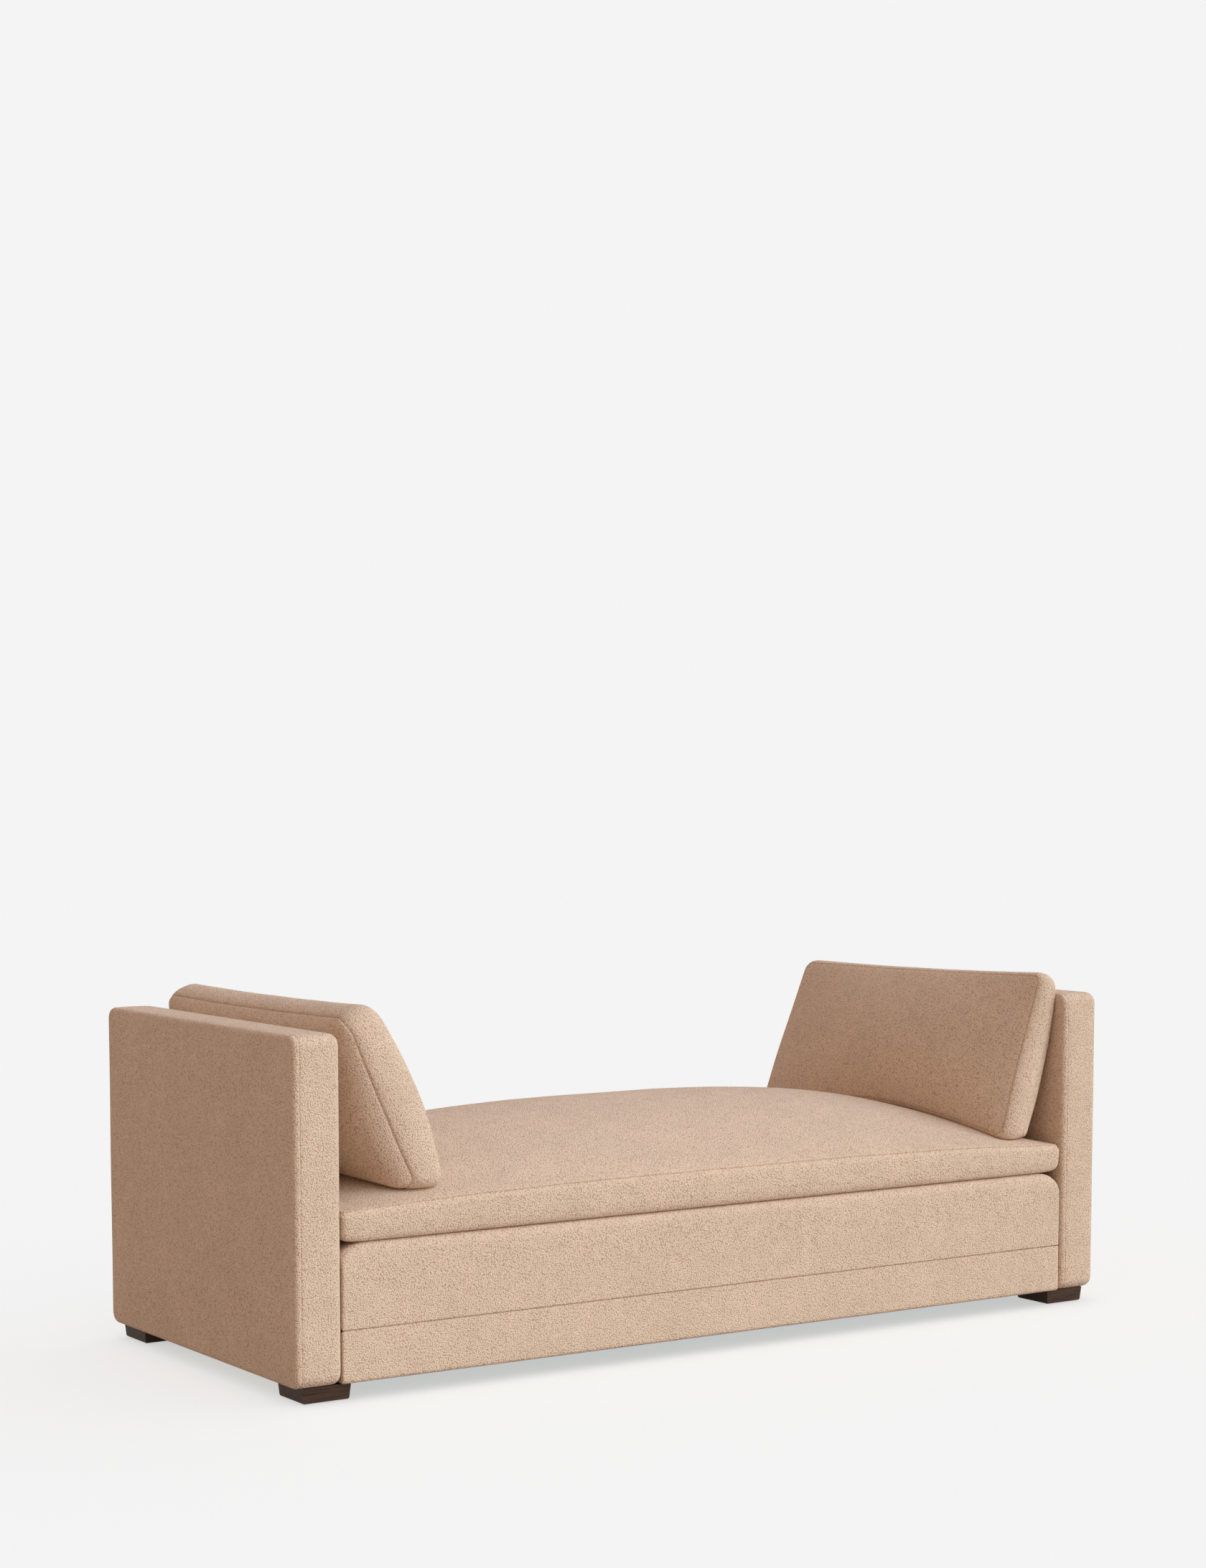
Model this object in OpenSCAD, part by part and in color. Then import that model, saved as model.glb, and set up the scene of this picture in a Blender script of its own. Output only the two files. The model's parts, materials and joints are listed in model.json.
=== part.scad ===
// Backless chaise longue: two upholstered end panels, a webbed timber base on block legs,
// one loose crowned seat cushion and two loose bolsters that lean on the end panels.
// X runs along the length, the front faces -Y, and the origin lies on the floor below the middle.

/* [Overall] */
// Length over both arms
overall_l = 2040; // [1700:2:2400]
// Depth from front to back
overall_d = 850; // [760:2:960]
// Height of the arms above the floor
arm_h = 707; // [640:1:800]
// Thickness of each upholstered arm
arm_t = 102; // [88:1:130]
// Gap between the floor and the upholstery
ground_gap = 33; // [25:1:70]

/* [Cloth and padding] */
// Thickness of the looped cover cloth
cloth_t = 2; // [1.5:0.25:3]
// Thickness of the foam round the arms
arm_foam_t = 12; // [8:1:15]
// Thickness of the foam on the front and rear rails
rail_foam_t = 12; // [8:1:20]
// Rounding of the arm's padded edges
arm_edge_r = 18; // [12:1:24]
// Width of cloth turned under the arms
arm_hem_w = 25; // [15:1:28]
// Width of cloth turned under the base
base_hem_w = 40; // [25:1:60]
// Height of the seam above the lower band of the base
band_z = 137; // [100:1:180]
// Thickness of the dust cloth under the base
dust_t = 0.8; // [0.5:0.1:1.5]

/* [Arm frame] */
// Thickness of the plywood arm panels
panel_t = 6; // [4:1:9]
// Width of the arm posts, front to back
post_d = 90; // [80:1:120]
// Height of the arm's top rail
top_rail_h = 45; // [40:1:70]
// Height of the arm's middle and bottom rails
cross_rail_h = 60; // [40:1:80]
// Underside of the arm's middle rail
mid_rail_z = 330; // [300:1:400]
// Length of the tenons
tenon_l = 20; // [12:1:25]
// Thickness of the tenons
tenon_t = 18; // [12:1:22]

/* [Base frame] */
// Thickness of the base rails
rail_t = 28; // [22:1:34]
// Top of the base rails above the floor
rail_top = 262; // [244:1:275]
// Height of the padded deck above the base rails
deck_pad = 41.5; // [34:0.5:60]
// Setback of the base cloth from the front of the arms
rail_setback = 6; // [0:1:12]
// Depth of the housing joints in the front and rear rails
housing = 10; // [6:1:14]
// Distance of each stretcher from the middle
stretcher_x = 310; // [200:5:400]
// Underside of the stretchers
stretcher_z = 170; // [130:1:180]
// Height of the stretchers
stretcher_h = 70; // [40:1:75]
// Leg length of the corner blocks
block_w = 60; // [40:1:80]
// Height of the corner blocks
block_h = 70; // [40:1:80]

/* [Webbing and deck] */
// Spacing of the straps that run from front to back
cross_pitch = 145; // [110:1:180]
// Spacing of the straps that run from arm to arm
long_pitch = 180; // [130:1:220]
// Width of the straps from front to back
cross_w = 70; // [50:1:80]
// Width of the straps from arm to arm
long_w = 60; // [50:1:80]
// Thickness of the straps
strap_t = 2; // [1.5:0.25:2.5]
// Thickness of the felt over the straps
felt_t = 4; // [3:0.5:6]

/* [Legs] */
// Width of the square legs
leg_w = 104; // [90:1:110]
// Distance of a leg from the end of the arm
leg_inset_x = 22; // [15:1:30]
// Distance of a leg from the front or back
leg_inset_y = 17; // [12:1:30]
// Taper of a leg on each side
leg_taper = 2.5; // [0:0.5:6]
// Diameter of the glides
glide_d = 25; // [18:1:28]
// Height of the glides that stands below the leg
glide_proud = 1.5; // [1:0.5:3]

/* [Fasteners] */
// Diameter of the arm bolts
bolt_d = 8; // [6:1:10]
// Height of the lower arm bolts
bolt_low_z = 150; // [140:1:160]
// Height of the upper arm bolts
bolt_high_z = 225; // [205:1:235]
// Diameter of the leg screws
screw_d = 8; // [6:1:8]
// Length of the leg screws
screw_l = 75; // [60:1:85]

/* [Seat cushion] */
// Height of the seat cushion's sides at its ends
seat_side_h = 62.2; // [54:0.1:76]
// Extra height of the sides at the middle
seat_seam_rise = 17; // [0:1:25]
// Height of the crown above the seam
seat_crown = 115; // [60:1:130]
// Rounding of the seat cushion's corners seen from above
seat_corner_r = 12; // [8:1:50]
// Outward swell of the seat cushion's sides
seat_swell = 5; // [2:0.5:8]
// Setback of the seat cushion from the front and back of the arms
seat_setback = 3; // [3:0.5:8]
// Thickness of the wadding above and below the foam core at its edges
wrap_t = 9; // [6:1:12]
// Distance of the foam core from the sides of the cushion
core_inset = 40; // [25:1:70]
// Distance of the zip in the rear side from each end of the cushion
zip_inset = 170.5; // [170.5:0.5:420]
// Width of the zip tape
zip_w = 19; // [18:0.5:20]

/* [Bolsters] */
// Width of the bolsters, front to back
bolster_w = 814; // [700:2:814]
// Shift of the bolsters to the back from the middle of the depth
bolster_back = 13; // [0:1:13]
// Thickness of the bolsters at their sides
bolster_t = 72; // [60:1:80]
// Height of the bolsters above the seat cushion's top seam
bolster_h = 374; // [330:1:410]
// Lean of the bolsters from upright
bolster_lean = 21; // [15:1:25]
// Crown of the face that looks along the seat
bolster_crown = 34; // [15:1:45]
// Bulge of the face that looks at the arm, at its foot
bolster_back_bulge = 90; // [20:1:100]
// Rounding of the bolsters' corners seen from the front
bolster_corner_r = 28; // [20:1:60]
// Distances of the left bolster's front face from the arm: foot and top at the front, then at the back
left_lean = [242, 94, 246, 98]; // [80:1:320]
// The same distances of the right bolster, which leans with a twist
right_lean = [158, 42, 235, 86]; // [40:1:320]

/* [Hidden] */

// Clearance between neighbouring pieces
gap = 0.3;
// Clearance of a bolster from the arm
soft_gap = 0.9;
// Clearance of a bolster's faceted underside from the crown that it lies on
crown_gap = 2.7;
// Overshoot of a cut past the face that it opens
over = 1;
// Sunk end of a round piece in its own neighbour, so that both make one solid
sunk = 0.01;
// Play of a shaft across its hole
fit = 0.4;
// Sides of the round holes and shafts
round_fn = 48;
// Steps round each padded edge
edge_steps = 6;
// Steps round the small folds at the foot of the base and of the legs
fold_steps = 4;
// Steps round the base's large top edges
fall_steps = 8;

boucle = [0.80, 0.66, 0.54];
foam_colour = [0.93, 0.90, 0.78];
timber = [0.82, 0.68, 0.48];
plywood = [0.74, 0.60, 0.42];
strap_colour = [0.55, 0.52, 0.46];
felt_colour = [0.45, 0.45, 0.47];
cambric = [0.12, 0.12, 0.13];
dark_wood = [0.16, 0.11, 0.08];
steel = [0.68, 0.69, 0.71];
nylon = [0.20, 0.20, 0.20];
wadding = [0.95, 0.94, 0.92];
tape_colour = [0.64, 0.53, 0.43];

half_l = overall_l / 2;
half_d = overall_d / 2;
// Inner face of each arm, from the middle
arm_in = half_l - arm_t;
// Depths below the arm's outer face at which the foam, the boards and the timber start
foam_in = cloth_t + gap;
board_in = foam_in + arm_foam_t + gap;
timber_in = board_in + panel_t;
// Rise of the cloth's rounded lower edge where the boards stand on it
edge_r = arm_edge_r - cloth_t;
edge_in = min(edge_r, board_in - cloth_t);
edge_rise = edge_r - sqrt(edge_r * edge_r - (edge_r - edge_in) * (edge_r - edge_in));
// Underside of all the timber
frame_z = ground_gap + cloth_t + edge_rise + 2 * gap;
arm_top_z = arm_h - board_in;
post_top_z = arm_top_z - top_rail_h;
post_out_y = half_d - board_in;
post_in_y = post_out_y - post_d;
post_in_x = arm_in + timber_in;
post_out_x = half_l - timber_in;
post_mid_x = (post_in_x + post_out_x) / 2;
post_mid_y = (post_in_y + post_out_y) / 2;
post_tenon_w = 50;
// Shoulder above and below the tenons of the arm's middle and bottom rails
tenon_shoulder = 10;

// Faces of the base frame
base_end = arm_in - gap;
rail_out_y = half_d - rail_setback - cloth_t - rail_foam_t - 2 * gap;
rail_in_y = rail_out_y - rail_t;
end_in_x = base_end - rail_t;

// Arm bolts run through the end rails into the posts
bolt_from_rail = 26;
bolt_y = rail_in_y - bolt_from_rail;
bolt_play = 1;
bolt_hole_d = bolt_d + bolt_play;
cloth_hole_d = bolt_hole_d + bolt_play;
washer_t = 1.6;
washer_d = 2.5 * bolt_d;
head_t = 0.66 * bolt_d;
head_d = 1.85 * bolt_d;
tee_flange_t = 1.5;
tee_flange_d = 22;
tee_wall = 1.25;
tee_barrel_d = bolt_d + 2 * tee_wall;
tee_barrel_l = 11;
tee_recess = 2;
bolt_head_x = end_in_x - washer_t;
tee_flange_x = post_out_x - tee_recess;
bolt_short = 3;
bolt_end_x = tee_flange_x - bolt_short;

// Legs and what holds them
leg_mid_x = half_l - leg_inset_x - leg_w / 2;
leg_mid_y = half_d - leg_inset_y - leg_w / 2;
leg_edge_r = 4;
rail_screw_in = 9;
screw_x = [post_mid_x, base_end - rail_screw_in];
screw_recess = 14;
screw_head_d = 17;
screw_head_t = 5;
screw_recess_d = 20;
screw_tip_l = 5;
screw_tip_d = 2;
key_d = 6;
key_depth = 3;
glide_t = 4;
glide_pin_d = 3;
glide_pin_l = 12;

// Levels in the deck
strap_z = rail_top + strap_t / 2;
strap_lift = (strap_t + gap) / 2;
strap_margin = 4;
strap_clear = 25;
// Share of a rail's thickness that a strap's end covers, and the level stretch before the rail
strap_lap = 0.7;
strap_level = 2;
cross_straps = floor((2 * (end_in_x - strap_clear) - cross_w) / cross_pitch) + 1;
long_straps = floor((2 * (rail_in_y - strap_clear) - long_w) / long_pitch) + 1;
felt_z = strap_z + strap_lift + strap_t / 2 + gap;
deck_foam_z = felt_z + felt_t + gap;
deck_h = rail_top + deck_pad;
deck_edge_r = 22;
deck_corner = [62, 31];
base_foot_r = 8;
least_fold_r = 1;
deck_seam_in = 60;
deck_seam_y = half_d - rail_setback - deck_seam_in;
seam_gap = 0.6;

// Seat cushion
seat_z = deck_h + gap;
seat_seam_z = seat_z + seat_side_h;
seat_end_gap = 1.5;
seat_hx = arm_in - seat_end_gap;
seat_out_y = half_d - seat_setback;
seat_hy = seat_out_y - seat_swell;
seat_x_power = 3;
seat_y_power = 1.9;
seat_least_r = 6;
// The zip runs along the middle of the rear side
zip_z = seat_z + (seat_side_h + seat_seam_rise) / 2;
zip_l = 2 * (seat_hx - zip_inset);
zip_tape_t = 1;
zip_tape_y = seat_out_y - cloth_t - gap;
zip_chain_w = 6;
zip_chain_t = 1.6;
zip_chain_in = 8;
zip_stop = 20;
slider_l = 14;
slider_w = 11;
slider_wall = 1.2;
slider_play = 1;
bridge_in = 3;
bridge_w = 3;
bridge_t = 1;

bolster_top_z = seat_seam_z + bolster_h;
bolster_near_rise = 2;
bolster_limit_x = arm_in - soft_gap;
// Depth over which a bolster's back flattens against the arm
bolster_flatten = 6;
bolster_foot_blend = 0.4;
bolster_x_power = 2.6;
bolster_y_power = 2.2;
bolster_least_r = 5;

// Small helpers

function smooth(t) = let (k = max(0, min(1, t))) k * k * (3 - 2 * k);

function arc(centre, rx, ry, from, to, steps) = [
    for (i = [0:steps]) let (a = from + (to - from) * i / steps)
        [centre.x + rx * cos(a), centre.y + ry * sin(a)]
];

module both_sides() {
    children();
    mirror([1, 0, 0]) children();
}

module four_corners() {
    both_sides() {
        children();
        mirror([0, 1, 0]) children();
    }
}

module block(low, high) {
    translate(low) cube(high - low);
}

module rod_x(x0, x1, y, z, d) {
    translate([x0, y, z]) rotate([0, 90, 0]) cylinder(d = d, h = x1 - x0, $fn = round_fn);
}

function rounded(x0, x1, y0, y1, r) = concat(
    arc([x1 - r, y0 + r], r, r, -90, 0, edge_steps),
    arc([x1 - r, y1 - r], r, r, 0, 90, edge_steps),
    arc([x0 + r, y1 - r], r, r, 90, 180, edge_steps),
    arc([x0 + r, y0 + r], r, r, 180, 270, edge_steps)
);

// A block whose edges are rounded in plan and in both elevations
module soft_block(low, high, r) {
    size = high - low;
    intersection() {
        translate([0, 0, low.z]) linear_extrude(size.z) polygon(rounded(low.x, high.x, low.y, high.y, r));
        translate([low.x, 0, 0]) rotate([90, 0, 90]) linear_extrude(size.x)
            polygon(rounded(low.y, high.y, low.z, high.z, r));
        translate([0, high.y, 0]) rotate([90, 0, 0]) linear_extrude(size.y)
            polygon(rounded(low.x, high.x, low.z, high.z, r));
    }
}

// Padded forms. A loop is a rounded rectangle whose front half mirrors its back half,
// rings of loops make the skin, and the first and last ring are closed straight across.

end_steps = 2;
arc_steps = 3;
side_steps = 8;

function half_loop(hx, hy, r) = concat(
    [for (i = [0:end_steps - 1]) [-hx, -(hy - r) * (i + 0.5) / end_steps]],
    arc([r - hx, r - hy], r, r, 180, 270, arc_steps),
    [for (i = [1:side_steps - 1]) [(hx - r) * (2 * i / side_steps - 1), -hy]],
    arc([hx - r, r - hy], r, r, 270, 360, arc_steps),
    [for (i = [end_steps - 1:-1:0]) [hx, -(hy - r) * (i + 0.5) / end_steps]]
);
half_count = 2 * end_steps + 2 * (arc_steps + 1) + side_steps - 1;
loop_count = 2 * half_count;

function whole_loop(hx, hy, r) = let (half = half_loop(hx, hy, r)) concat(
    half, [for (i = [half_count - 1:-1:0]) [half[i].x, -half[i].y]]
);

function ring_faces(k) = [
    for (i = [0:loop_count - 1]) let (
        a = k * loop_count + i, b = k * loop_count + (i + 1) % loop_count,
        c = a + loop_count, d = b + loop_count
    ) each [[a, c, d], [a, d, b]]
];

// Faces across a loop, wound as seen from above: a fan at each end and strips between
function cap_triangles() = let (
    e = end_steps, last = half_count - 1,
    across = function(i) loop_count - 1 - i,
    left = e + 1, right = last - 1 - e
) concat(
    [for (i = [0:e - 1]) each [[i, i + 1, left], [across(i + 1), across(i), across(left)]]],
    [[across(0), 0, left], [across(0), left, across(left)]],
    [for (i = [left:right - 1]) each [[i, i + 1, across(i + 1)], [i, across(i + 1), across(i)]]],
    [for (i = [0:e - 1]) let (a = last - i, b = last - i - 1)
        each [[right, b, a], [across(right), across(a), across(b)]]],
    [[right, last, across(last)], [right, across(last), across(right)]]
);

function cap_faces(start, up) = [
    for (t = cap_triangles()) up ? [start + t[2], start + t[1], start + t[0]] : [for (i = t) start + i]
];

module skin(points, rings) {
    polyhedron(points, concat(
        cap_faces(0, false),
        [for (k = [0:rings - 2]) each ring_faces(k)],
        cap_faces((rings - 1) * loop_count, true)
    ), convexity = 6);
}

// Seat cushion: height of its top at a point, and its rings from the underside to the crown

function seat_share_x(x) = 1 - pow(min(1, abs(x) / seat_hx), seat_x_power);
function seat_share_y(y) = 1 - pow(min(1, abs(y) / seat_hy), seat_y_power);
function seat_seam(x) = seat_seam_z + seat_seam_rise * seat_share_x(x);
function seat_top(x, y) = seat_seam(x) + seat_crown * seat_share_x(x) * seat_share_y(y);

// Each ring: its distance inside the outline as a share of the half depth, or -1 on the swollen sides,
// and its share of the side's height, or 2 on the top
seat_rings = [
    [0.55, 0], [0.06, 0], [0.012, 0.06], [0, 0.16], [-1, 0.36], [-1, 0.78], [0, 1],
    [0.05, 2], [0.14, 2], [0.28, 2], [0.46, 2], [0.68, 2], [0.93, 2]
];

function seat_inset(k) = let (d = seat_rings[k][0]) d < 0 ? d * seat_swell : d * seat_hy;

function seat_height(share, x, y, t) =
    share > 1 ? seat_top(x, y) - t
    : let (low = seat_z + t, high = seat_seam(x) - t / 2) low + share * (high - low);

module seat_form(t) {
    skin([
        for (k = [0:len(seat_rings) - 1])
            let (in = seat_inset(k), r = max(seat_corner_r - in - t, seat_least_r))
            for (p = whole_loop(seat_hx - max(in, 0) - t, seat_hy - in - t, r))
                [p.x, p.y, seat_height(seat_rings[k][1], p.x, p.y, t)]
    ], len(seat_rings));
}

// Bolster: a point of its box (along the width, up the height, through the thickness) carried to its lean

// Each ring: its distance inside the outline as a share of the half height, and its place through
// the thickness, from the face that looks along the seat to the face that looks at the arm.
// The side is flat as far as bolster_flat, and the faces' fullness grows from there on.
bolster_flat = 0.45;
bolster_rings = [
    [0.9, -1], [0.6, -1], [0.3, -1], [0.1, -1], [0, -1],
    [-0.02, -bolster_flat], [-0.02, bolster_flat], [0, 0.72],
    [0, 1], [0.1, 1], [0.3, 1], [0.6, 1], [0.9, 1]
];
bolster_hv = 200;

function bolster_share_x(p, t) = 1 - pow(min(1, abs(p.x) / (bolster_w / 2 - t)), bolster_x_power);
function bolster_share_y(y) = 1 - pow(max(0, min(1, y)), bolster_y_power);

// The front crowns both ways. The back is fullest at its foot, and turns in steeply at its two ends.
function bolster_crown_at(p, t) =
    bolster_crown * bolster_share_x(p, t) * bolster_share_y(abs(p.y) / (bolster_hv - t));
function bolster_bulge_at(p, t) =
    bolster_back_bulge * sqrt(bolster_share_x(p, t) * bolster_share_y((p.y / (bolster_hv - t) + 1) / 2));

function bolster_stop(x, t) = let (stop = bolster_limit_x - t, knee = stop - bolster_flatten)
    x < knee ? x : stop - bolster_flatten * exp((knee - x) / bolster_flatten);

function bolster_point(p, w, t, lean) = let (
    y = p.x + bolster_back,
    near = 0.5 - p.x / bolster_w,
    v = max(0, (p.y / bolster_hv + 1) / 2),
    foot = arm_in - lean[2] - (lean[0] - lean[2]) * near,
    head = arm_in - lean[3] - (lean[1] - lean[3]) * near,
    full = max(0, (abs(w) - bolster_flat) / (1 - bolster_flat)),
    crown = w < 0 ? -bolster_crown_at(p, t) : bolster_bulge_at(p, t),
    through = w * (bolster_t / 2 - t) + full * crown,
    middle_x = foot + (head - foot) * v + bolster_t / 2 / cos(bolster_lean),
    x = bolster_stop(middle_x + through * cos(bolster_lean), t),
    floor_z = seat_top(x, y) + crown_gap + t,
    head_z = bolster_top_z + bolster_near_rise * (2 * near - 1) - t
) [x, y, floor_z + (head_z - floor_z) * v - through * sin(bolster_lean) * smooth(v / bolster_foot_blend)];

module bolster_form(t, lean) {
    skin([
        for (ring = bolster_rings)
            let (d = ring[0] * bolster_hv + t, r = max(bolster_corner_r - d, bolster_least_r))
            for (p = whole_loop(bolster_w / 2 - d, bolster_hv - d, r))
                bolster_point(p, ring[1], t, lean)
    ], len(bolster_rings));
}

// Arms, drawn on the right and mirrored for the left

module arm_holes(d) {
    for (y = [-bolt_y, bolt_y], z = [bolt_low_z, bolt_high_z])
        rod_x(arm_in - over, post_out_x + over, y, z, d);
}

module arm_cover() {
    color(boucle) difference() {
        soft_block([arm_in, -half_d, ground_gap], [half_l, half_d, arm_h], arm_edge_r);
        soft_block([arm_in + cloth_t, cloth_t - half_d, ground_gap + cloth_t],
                   [half_l - cloth_t, half_d - cloth_t, arm_h - cloth_t], arm_edge_r - cloth_t);
        block([arm_in + arm_hem_w, arm_hem_w - half_d, ground_gap - over],
              [half_l - arm_hem_w, half_d - arm_hem_w, ground_gap + cloth_t + over]);
        intersection() {
            arm_holes(cloth_hole_d);
            block([arm_in - over, -half_d, ground_gap], [arm_in + cloth_t + over, half_d, arm_h]);
        }
    }
}

module arm_foam() {
    color(foam_colour) difference() {
        soft_block([arm_in + foam_in, foam_in - half_d, ground_gap + foam_in],
                   [half_l - foam_in, half_d - foam_in, arm_h - foam_in], arm_edge_r - foam_in);
        block([arm_in + board_in - gap, board_in - gap - half_d, 0],
              [half_l - board_in + gap, half_d - board_in + gap, arm_h - board_in + gap]);
        intersection() {
            arm_holes(cloth_hole_d);
            block([arm_in, -half_d, ground_gap], [arm_in + board_in, half_d, arm_h]);
        }
    }
}

module tenon_x(y0, y1, z0, z1, grow) {
    block([post_mid_x - tenon_t / 2 - grow, y0, z0 - grow], [post_mid_x + tenon_t / 2 + grow, y1, z1 + grow]);
}

module cross_tenons(z, grow) {
    for (s = [-1, 1])
        tenon_x(min(s * (post_in_y - over), s * (post_in_y + tenon_l + grow)),
                max(s * (post_in_y - over), s * (post_in_y + tenon_l + grow)),
                z + tenon_shoulder, z + cross_rail_h - tenon_shoulder, grow);
}

module post_tenon(grow) {
    half_w = post_tenon_w / 2 + grow;
    block([post_mid_x - tenon_t / 2 - grow, post_mid_y - half_w, post_top_z - over],
          [post_mid_x + tenon_t / 2 + grow, post_mid_y + half_w, post_top_z + tenon_l + grow]);
}

module arm_post() {
    color(timber) {
        difference() {
            block([post_in_x, post_in_y, frame_z], [post_out_x, post_out_y, post_top_z]);
            cross_tenons(frame_z, gap);
            cross_tenons(mid_rail_z, gap);
            arm_holes(bolt_hole_d);
            for (z = [bolt_low_z, bolt_high_z]) {
                rod_x(tee_flange_x - tee_barrel_l, post_out_x, bolt_y, z, tee_barrel_d + fit);
                rod_x(tee_flange_x, post_out_x + over, bolt_y, z, tee_flange_d + 2 * fit);
            }
            leg_screw_holes(screw_d + fit);
        }
        post_tenon(0);
    }
}

module arm_front_post() {
    mirror([0, 1, 0]) arm_post();
}

module arm_top_rail() {
    color(timber) difference() {
        block([post_in_x, -post_out_y, post_top_z], [post_out_x, post_out_y, arm_top_z]);
        post_tenon(gap);
        mirror([0, 1, 0]) post_tenon(gap);
    }
}

module arm_cross_rail(z) {
    color(timber) {
        block([post_in_x, -post_in_y, z], [post_out_x, post_in_y, z + cross_rail_h]);
        cross_tenons(z, 0);
    }
}

module arm_inner_panel() {
    color(plywood) difference() {
        block([arm_in + board_in, -post_out_y, frame_z], [post_in_x, post_out_y, arm_top_z]);
        arm_holes(bolt_hole_d);
    }
}

module arm_outer_panel() {
    color(plywood) block([post_out_x, -post_out_y, frame_z], [half_l - board_in, post_out_y, arm_top_z]);
}

module at_arm_bolts() {
    four_corners() for (z = [bolt_low_z, bolt_high_z]) translate([0, bolt_y, z]) children();
}

module arm_bolts() {
    color(steel) at_arm_bolts() {
        rod_x(bolt_head_x - sunk, bolt_end_x, 0, 0, bolt_d);
        translate([bolt_head_x - head_t, 0, 0]) rotate([0, 90, 0]) cylinder(d = head_d, h = head_t, $fn = 6);
    }
}

module arm_bolt_washers() {
    color(steel) at_arm_bolts() difference() {
        rod_x(bolt_head_x, end_in_x, 0, 0, washer_d);
        rod_x(bolt_head_x - over, end_in_x + over, 0, 0, bolt_d + 2 * fit);
    }
}

module arm_tee_nuts() {
    barrel_x = tee_flange_x - tee_barrel_l + gap;
    end_x = tee_flange_x + tee_flange_t;
    color(steel) at_arm_bolts() difference() {
        union() {
            rod_x(tee_flange_x, end_x, 0, 0, tee_flange_d);
            rod_x(barrel_x, end_x, 0, 0, tee_barrel_d);
        }
        rod_x(barrel_x - over, end_x + over, 0, 0, bolt_d + fit);
    }
}

// Base frame

module end_rail_space(grow) {
    block([end_in_x - grow, -rail_in_y - housing - grow, frame_z - over],
          [base_end + over, rail_in_y + housing + grow, rail_top + over]);
}

module stretcher_space(x, grow) {
    block([x - rail_t / 2 - grow, -rail_in_y - housing - grow, stretcher_z - grow],
          [x + rail_t / 2 + grow, rail_in_y + housing + grow, stretcher_z + stretcher_h + grow]);
}

module rear_rail() {
    color(timber) difference() {
        block([-base_end, rail_in_y, frame_z], [base_end, rail_out_y, rail_top]);
        both_sides() {
            end_rail_space(gap);
            stretcher_space(stretcher_x, gap);
        }
    }
}

module front_rail() {
    mirror([0, 1, 0]) rear_rail();
}

module end_rail() {
    color(timber) difference() {
        block([end_in_x, -rail_in_y - housing, frame_z], [base_end, rail_in_y + housing, rail_top]);
        for (y = [-bolt_y, bolt_y], z = [bolt_low_z, bolt_high_z])
            rod_x(end_in_x - over, base_end + over, y, z, bolt_hole_d);
        leg_screw_holes(screw_d + fit);
        mirror([0, 1, 0]) leg_screw_holes(screw_d + fit);
    }
}

module stretcher() {
    color(timber) stretcher_space(stretcher_x, 0);
}

module corner_blocks() {
    color(timber) four_corners() translate([end_in_x, rail_in_y, frame_z]) linear_extrude(block_h)
        polygon([[0, 0], [-block_w, 0], [0, -block_w]]);
}

// Woven webbing: each strap passes over and under the straps that it crosses

function strap_place(i, count, pitch) = (i - (count - 1) / 2) * pitch;

function strap_path(end, inner, count, pitch, width, parity) = concat(
    [[-end, 0], [-inner, 0]],
    [for (j = [0:count - 1]) let (
        at = strap_place(j, count, pitch), lift = strap_lift * ((j + parity) % 2 == 0 ? 1 : -1)
    ) each [[at - width / 2 - strap_margin, lift], [at + width / 2 + strap_margin, lift]]],
    [[inner, 0], [end, 0]]
);

module strap(path, width) {
    top = [for (p = path) [p.x, p.y + strap_t / 2]];
    bottom = [for (i = [len(path) - 1:-1:0]) [path[i].x, path[i].y - strap_t / 2]];
    rotate([90, 0, 0]) linear_extrude(width, center = true) polygon(concat(top, bottom));
}

module cross_webbing() {
    end = rail_in_y + strap_lap * rail_t;
    color(strap_colour) for (i = [0:cross_straps - 1])
        translate([strap_place(i, cross_straps, cross_pitch), 0, strap_z]) rotate([0, 0, 90])
            strap(strap_path(end, rail_in_y - strap_level, long_straps, long_pitch, long_w, i), cross_w);
}

module long_webbing() {
    end = end_in_x + strap_lap * rail_t;
    color(strap_colour) for (j = [0:long_straps - 1])
        translate([0, strap_place(j, long_straps, long_pitch), strap_z])
            strap(strap_path(end, end_in_x - strap_level, cross_straps, cross_pitch, cross_w, j + 1), long_w);
}

module deck_felt() {
    color(felt_colour) block([-base_end, -rail_out_y, felt_z], [base_end, rail_out_y, felt_z + felt_t]);
}

// Outer form of the padded base, drawn in by t on every clothed face

module base_section(t) {
    y = half_d - rail_setback - t;
    top = deck_h - t;
    low = ground_gap + t;
    foot = max(base_foot_r - t, least_fold_r);
    edge = deck_edge_r - t;
    right = concat(
        arc([y - foot, low + foot], foot, foot, -90, 0, fold_steps),
        arc([y - edge, top - edge], edge, edge, 0, 90, fall_steps)
    );
    left = [for (i = [len(right) - 1:-1:0]) [-right[i].x, right[i].y]];
    translate([-half_l, 0, 0]) rotate([90, 0, 90]) linear_extrude(overall_l) polygon(concat(right, left));
}

module base_elevation(t, end) {
    centre = [base_end - deck_corner.x, deck_h - deck_corner.y];
    right = concat(
        [[end, 0], [end, centre.y]],
        arc(centre, deck_corner.x - t, deck_corner.y - t, 0, 90, fall_steps)
    );
    left = [for (i = [len(right) - 1:-1:0]) [-right[i].x, right[i].y]];
    translate([0, half_d, 0]) rotate([90, 0, 0]) linear_extrude(overall_d) polygon(concat(right, left));
}

module base_form(t, end = base_end) {
    intersection() {
        base_section(t);
        base_elevation(t, end);
    }
}

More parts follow.
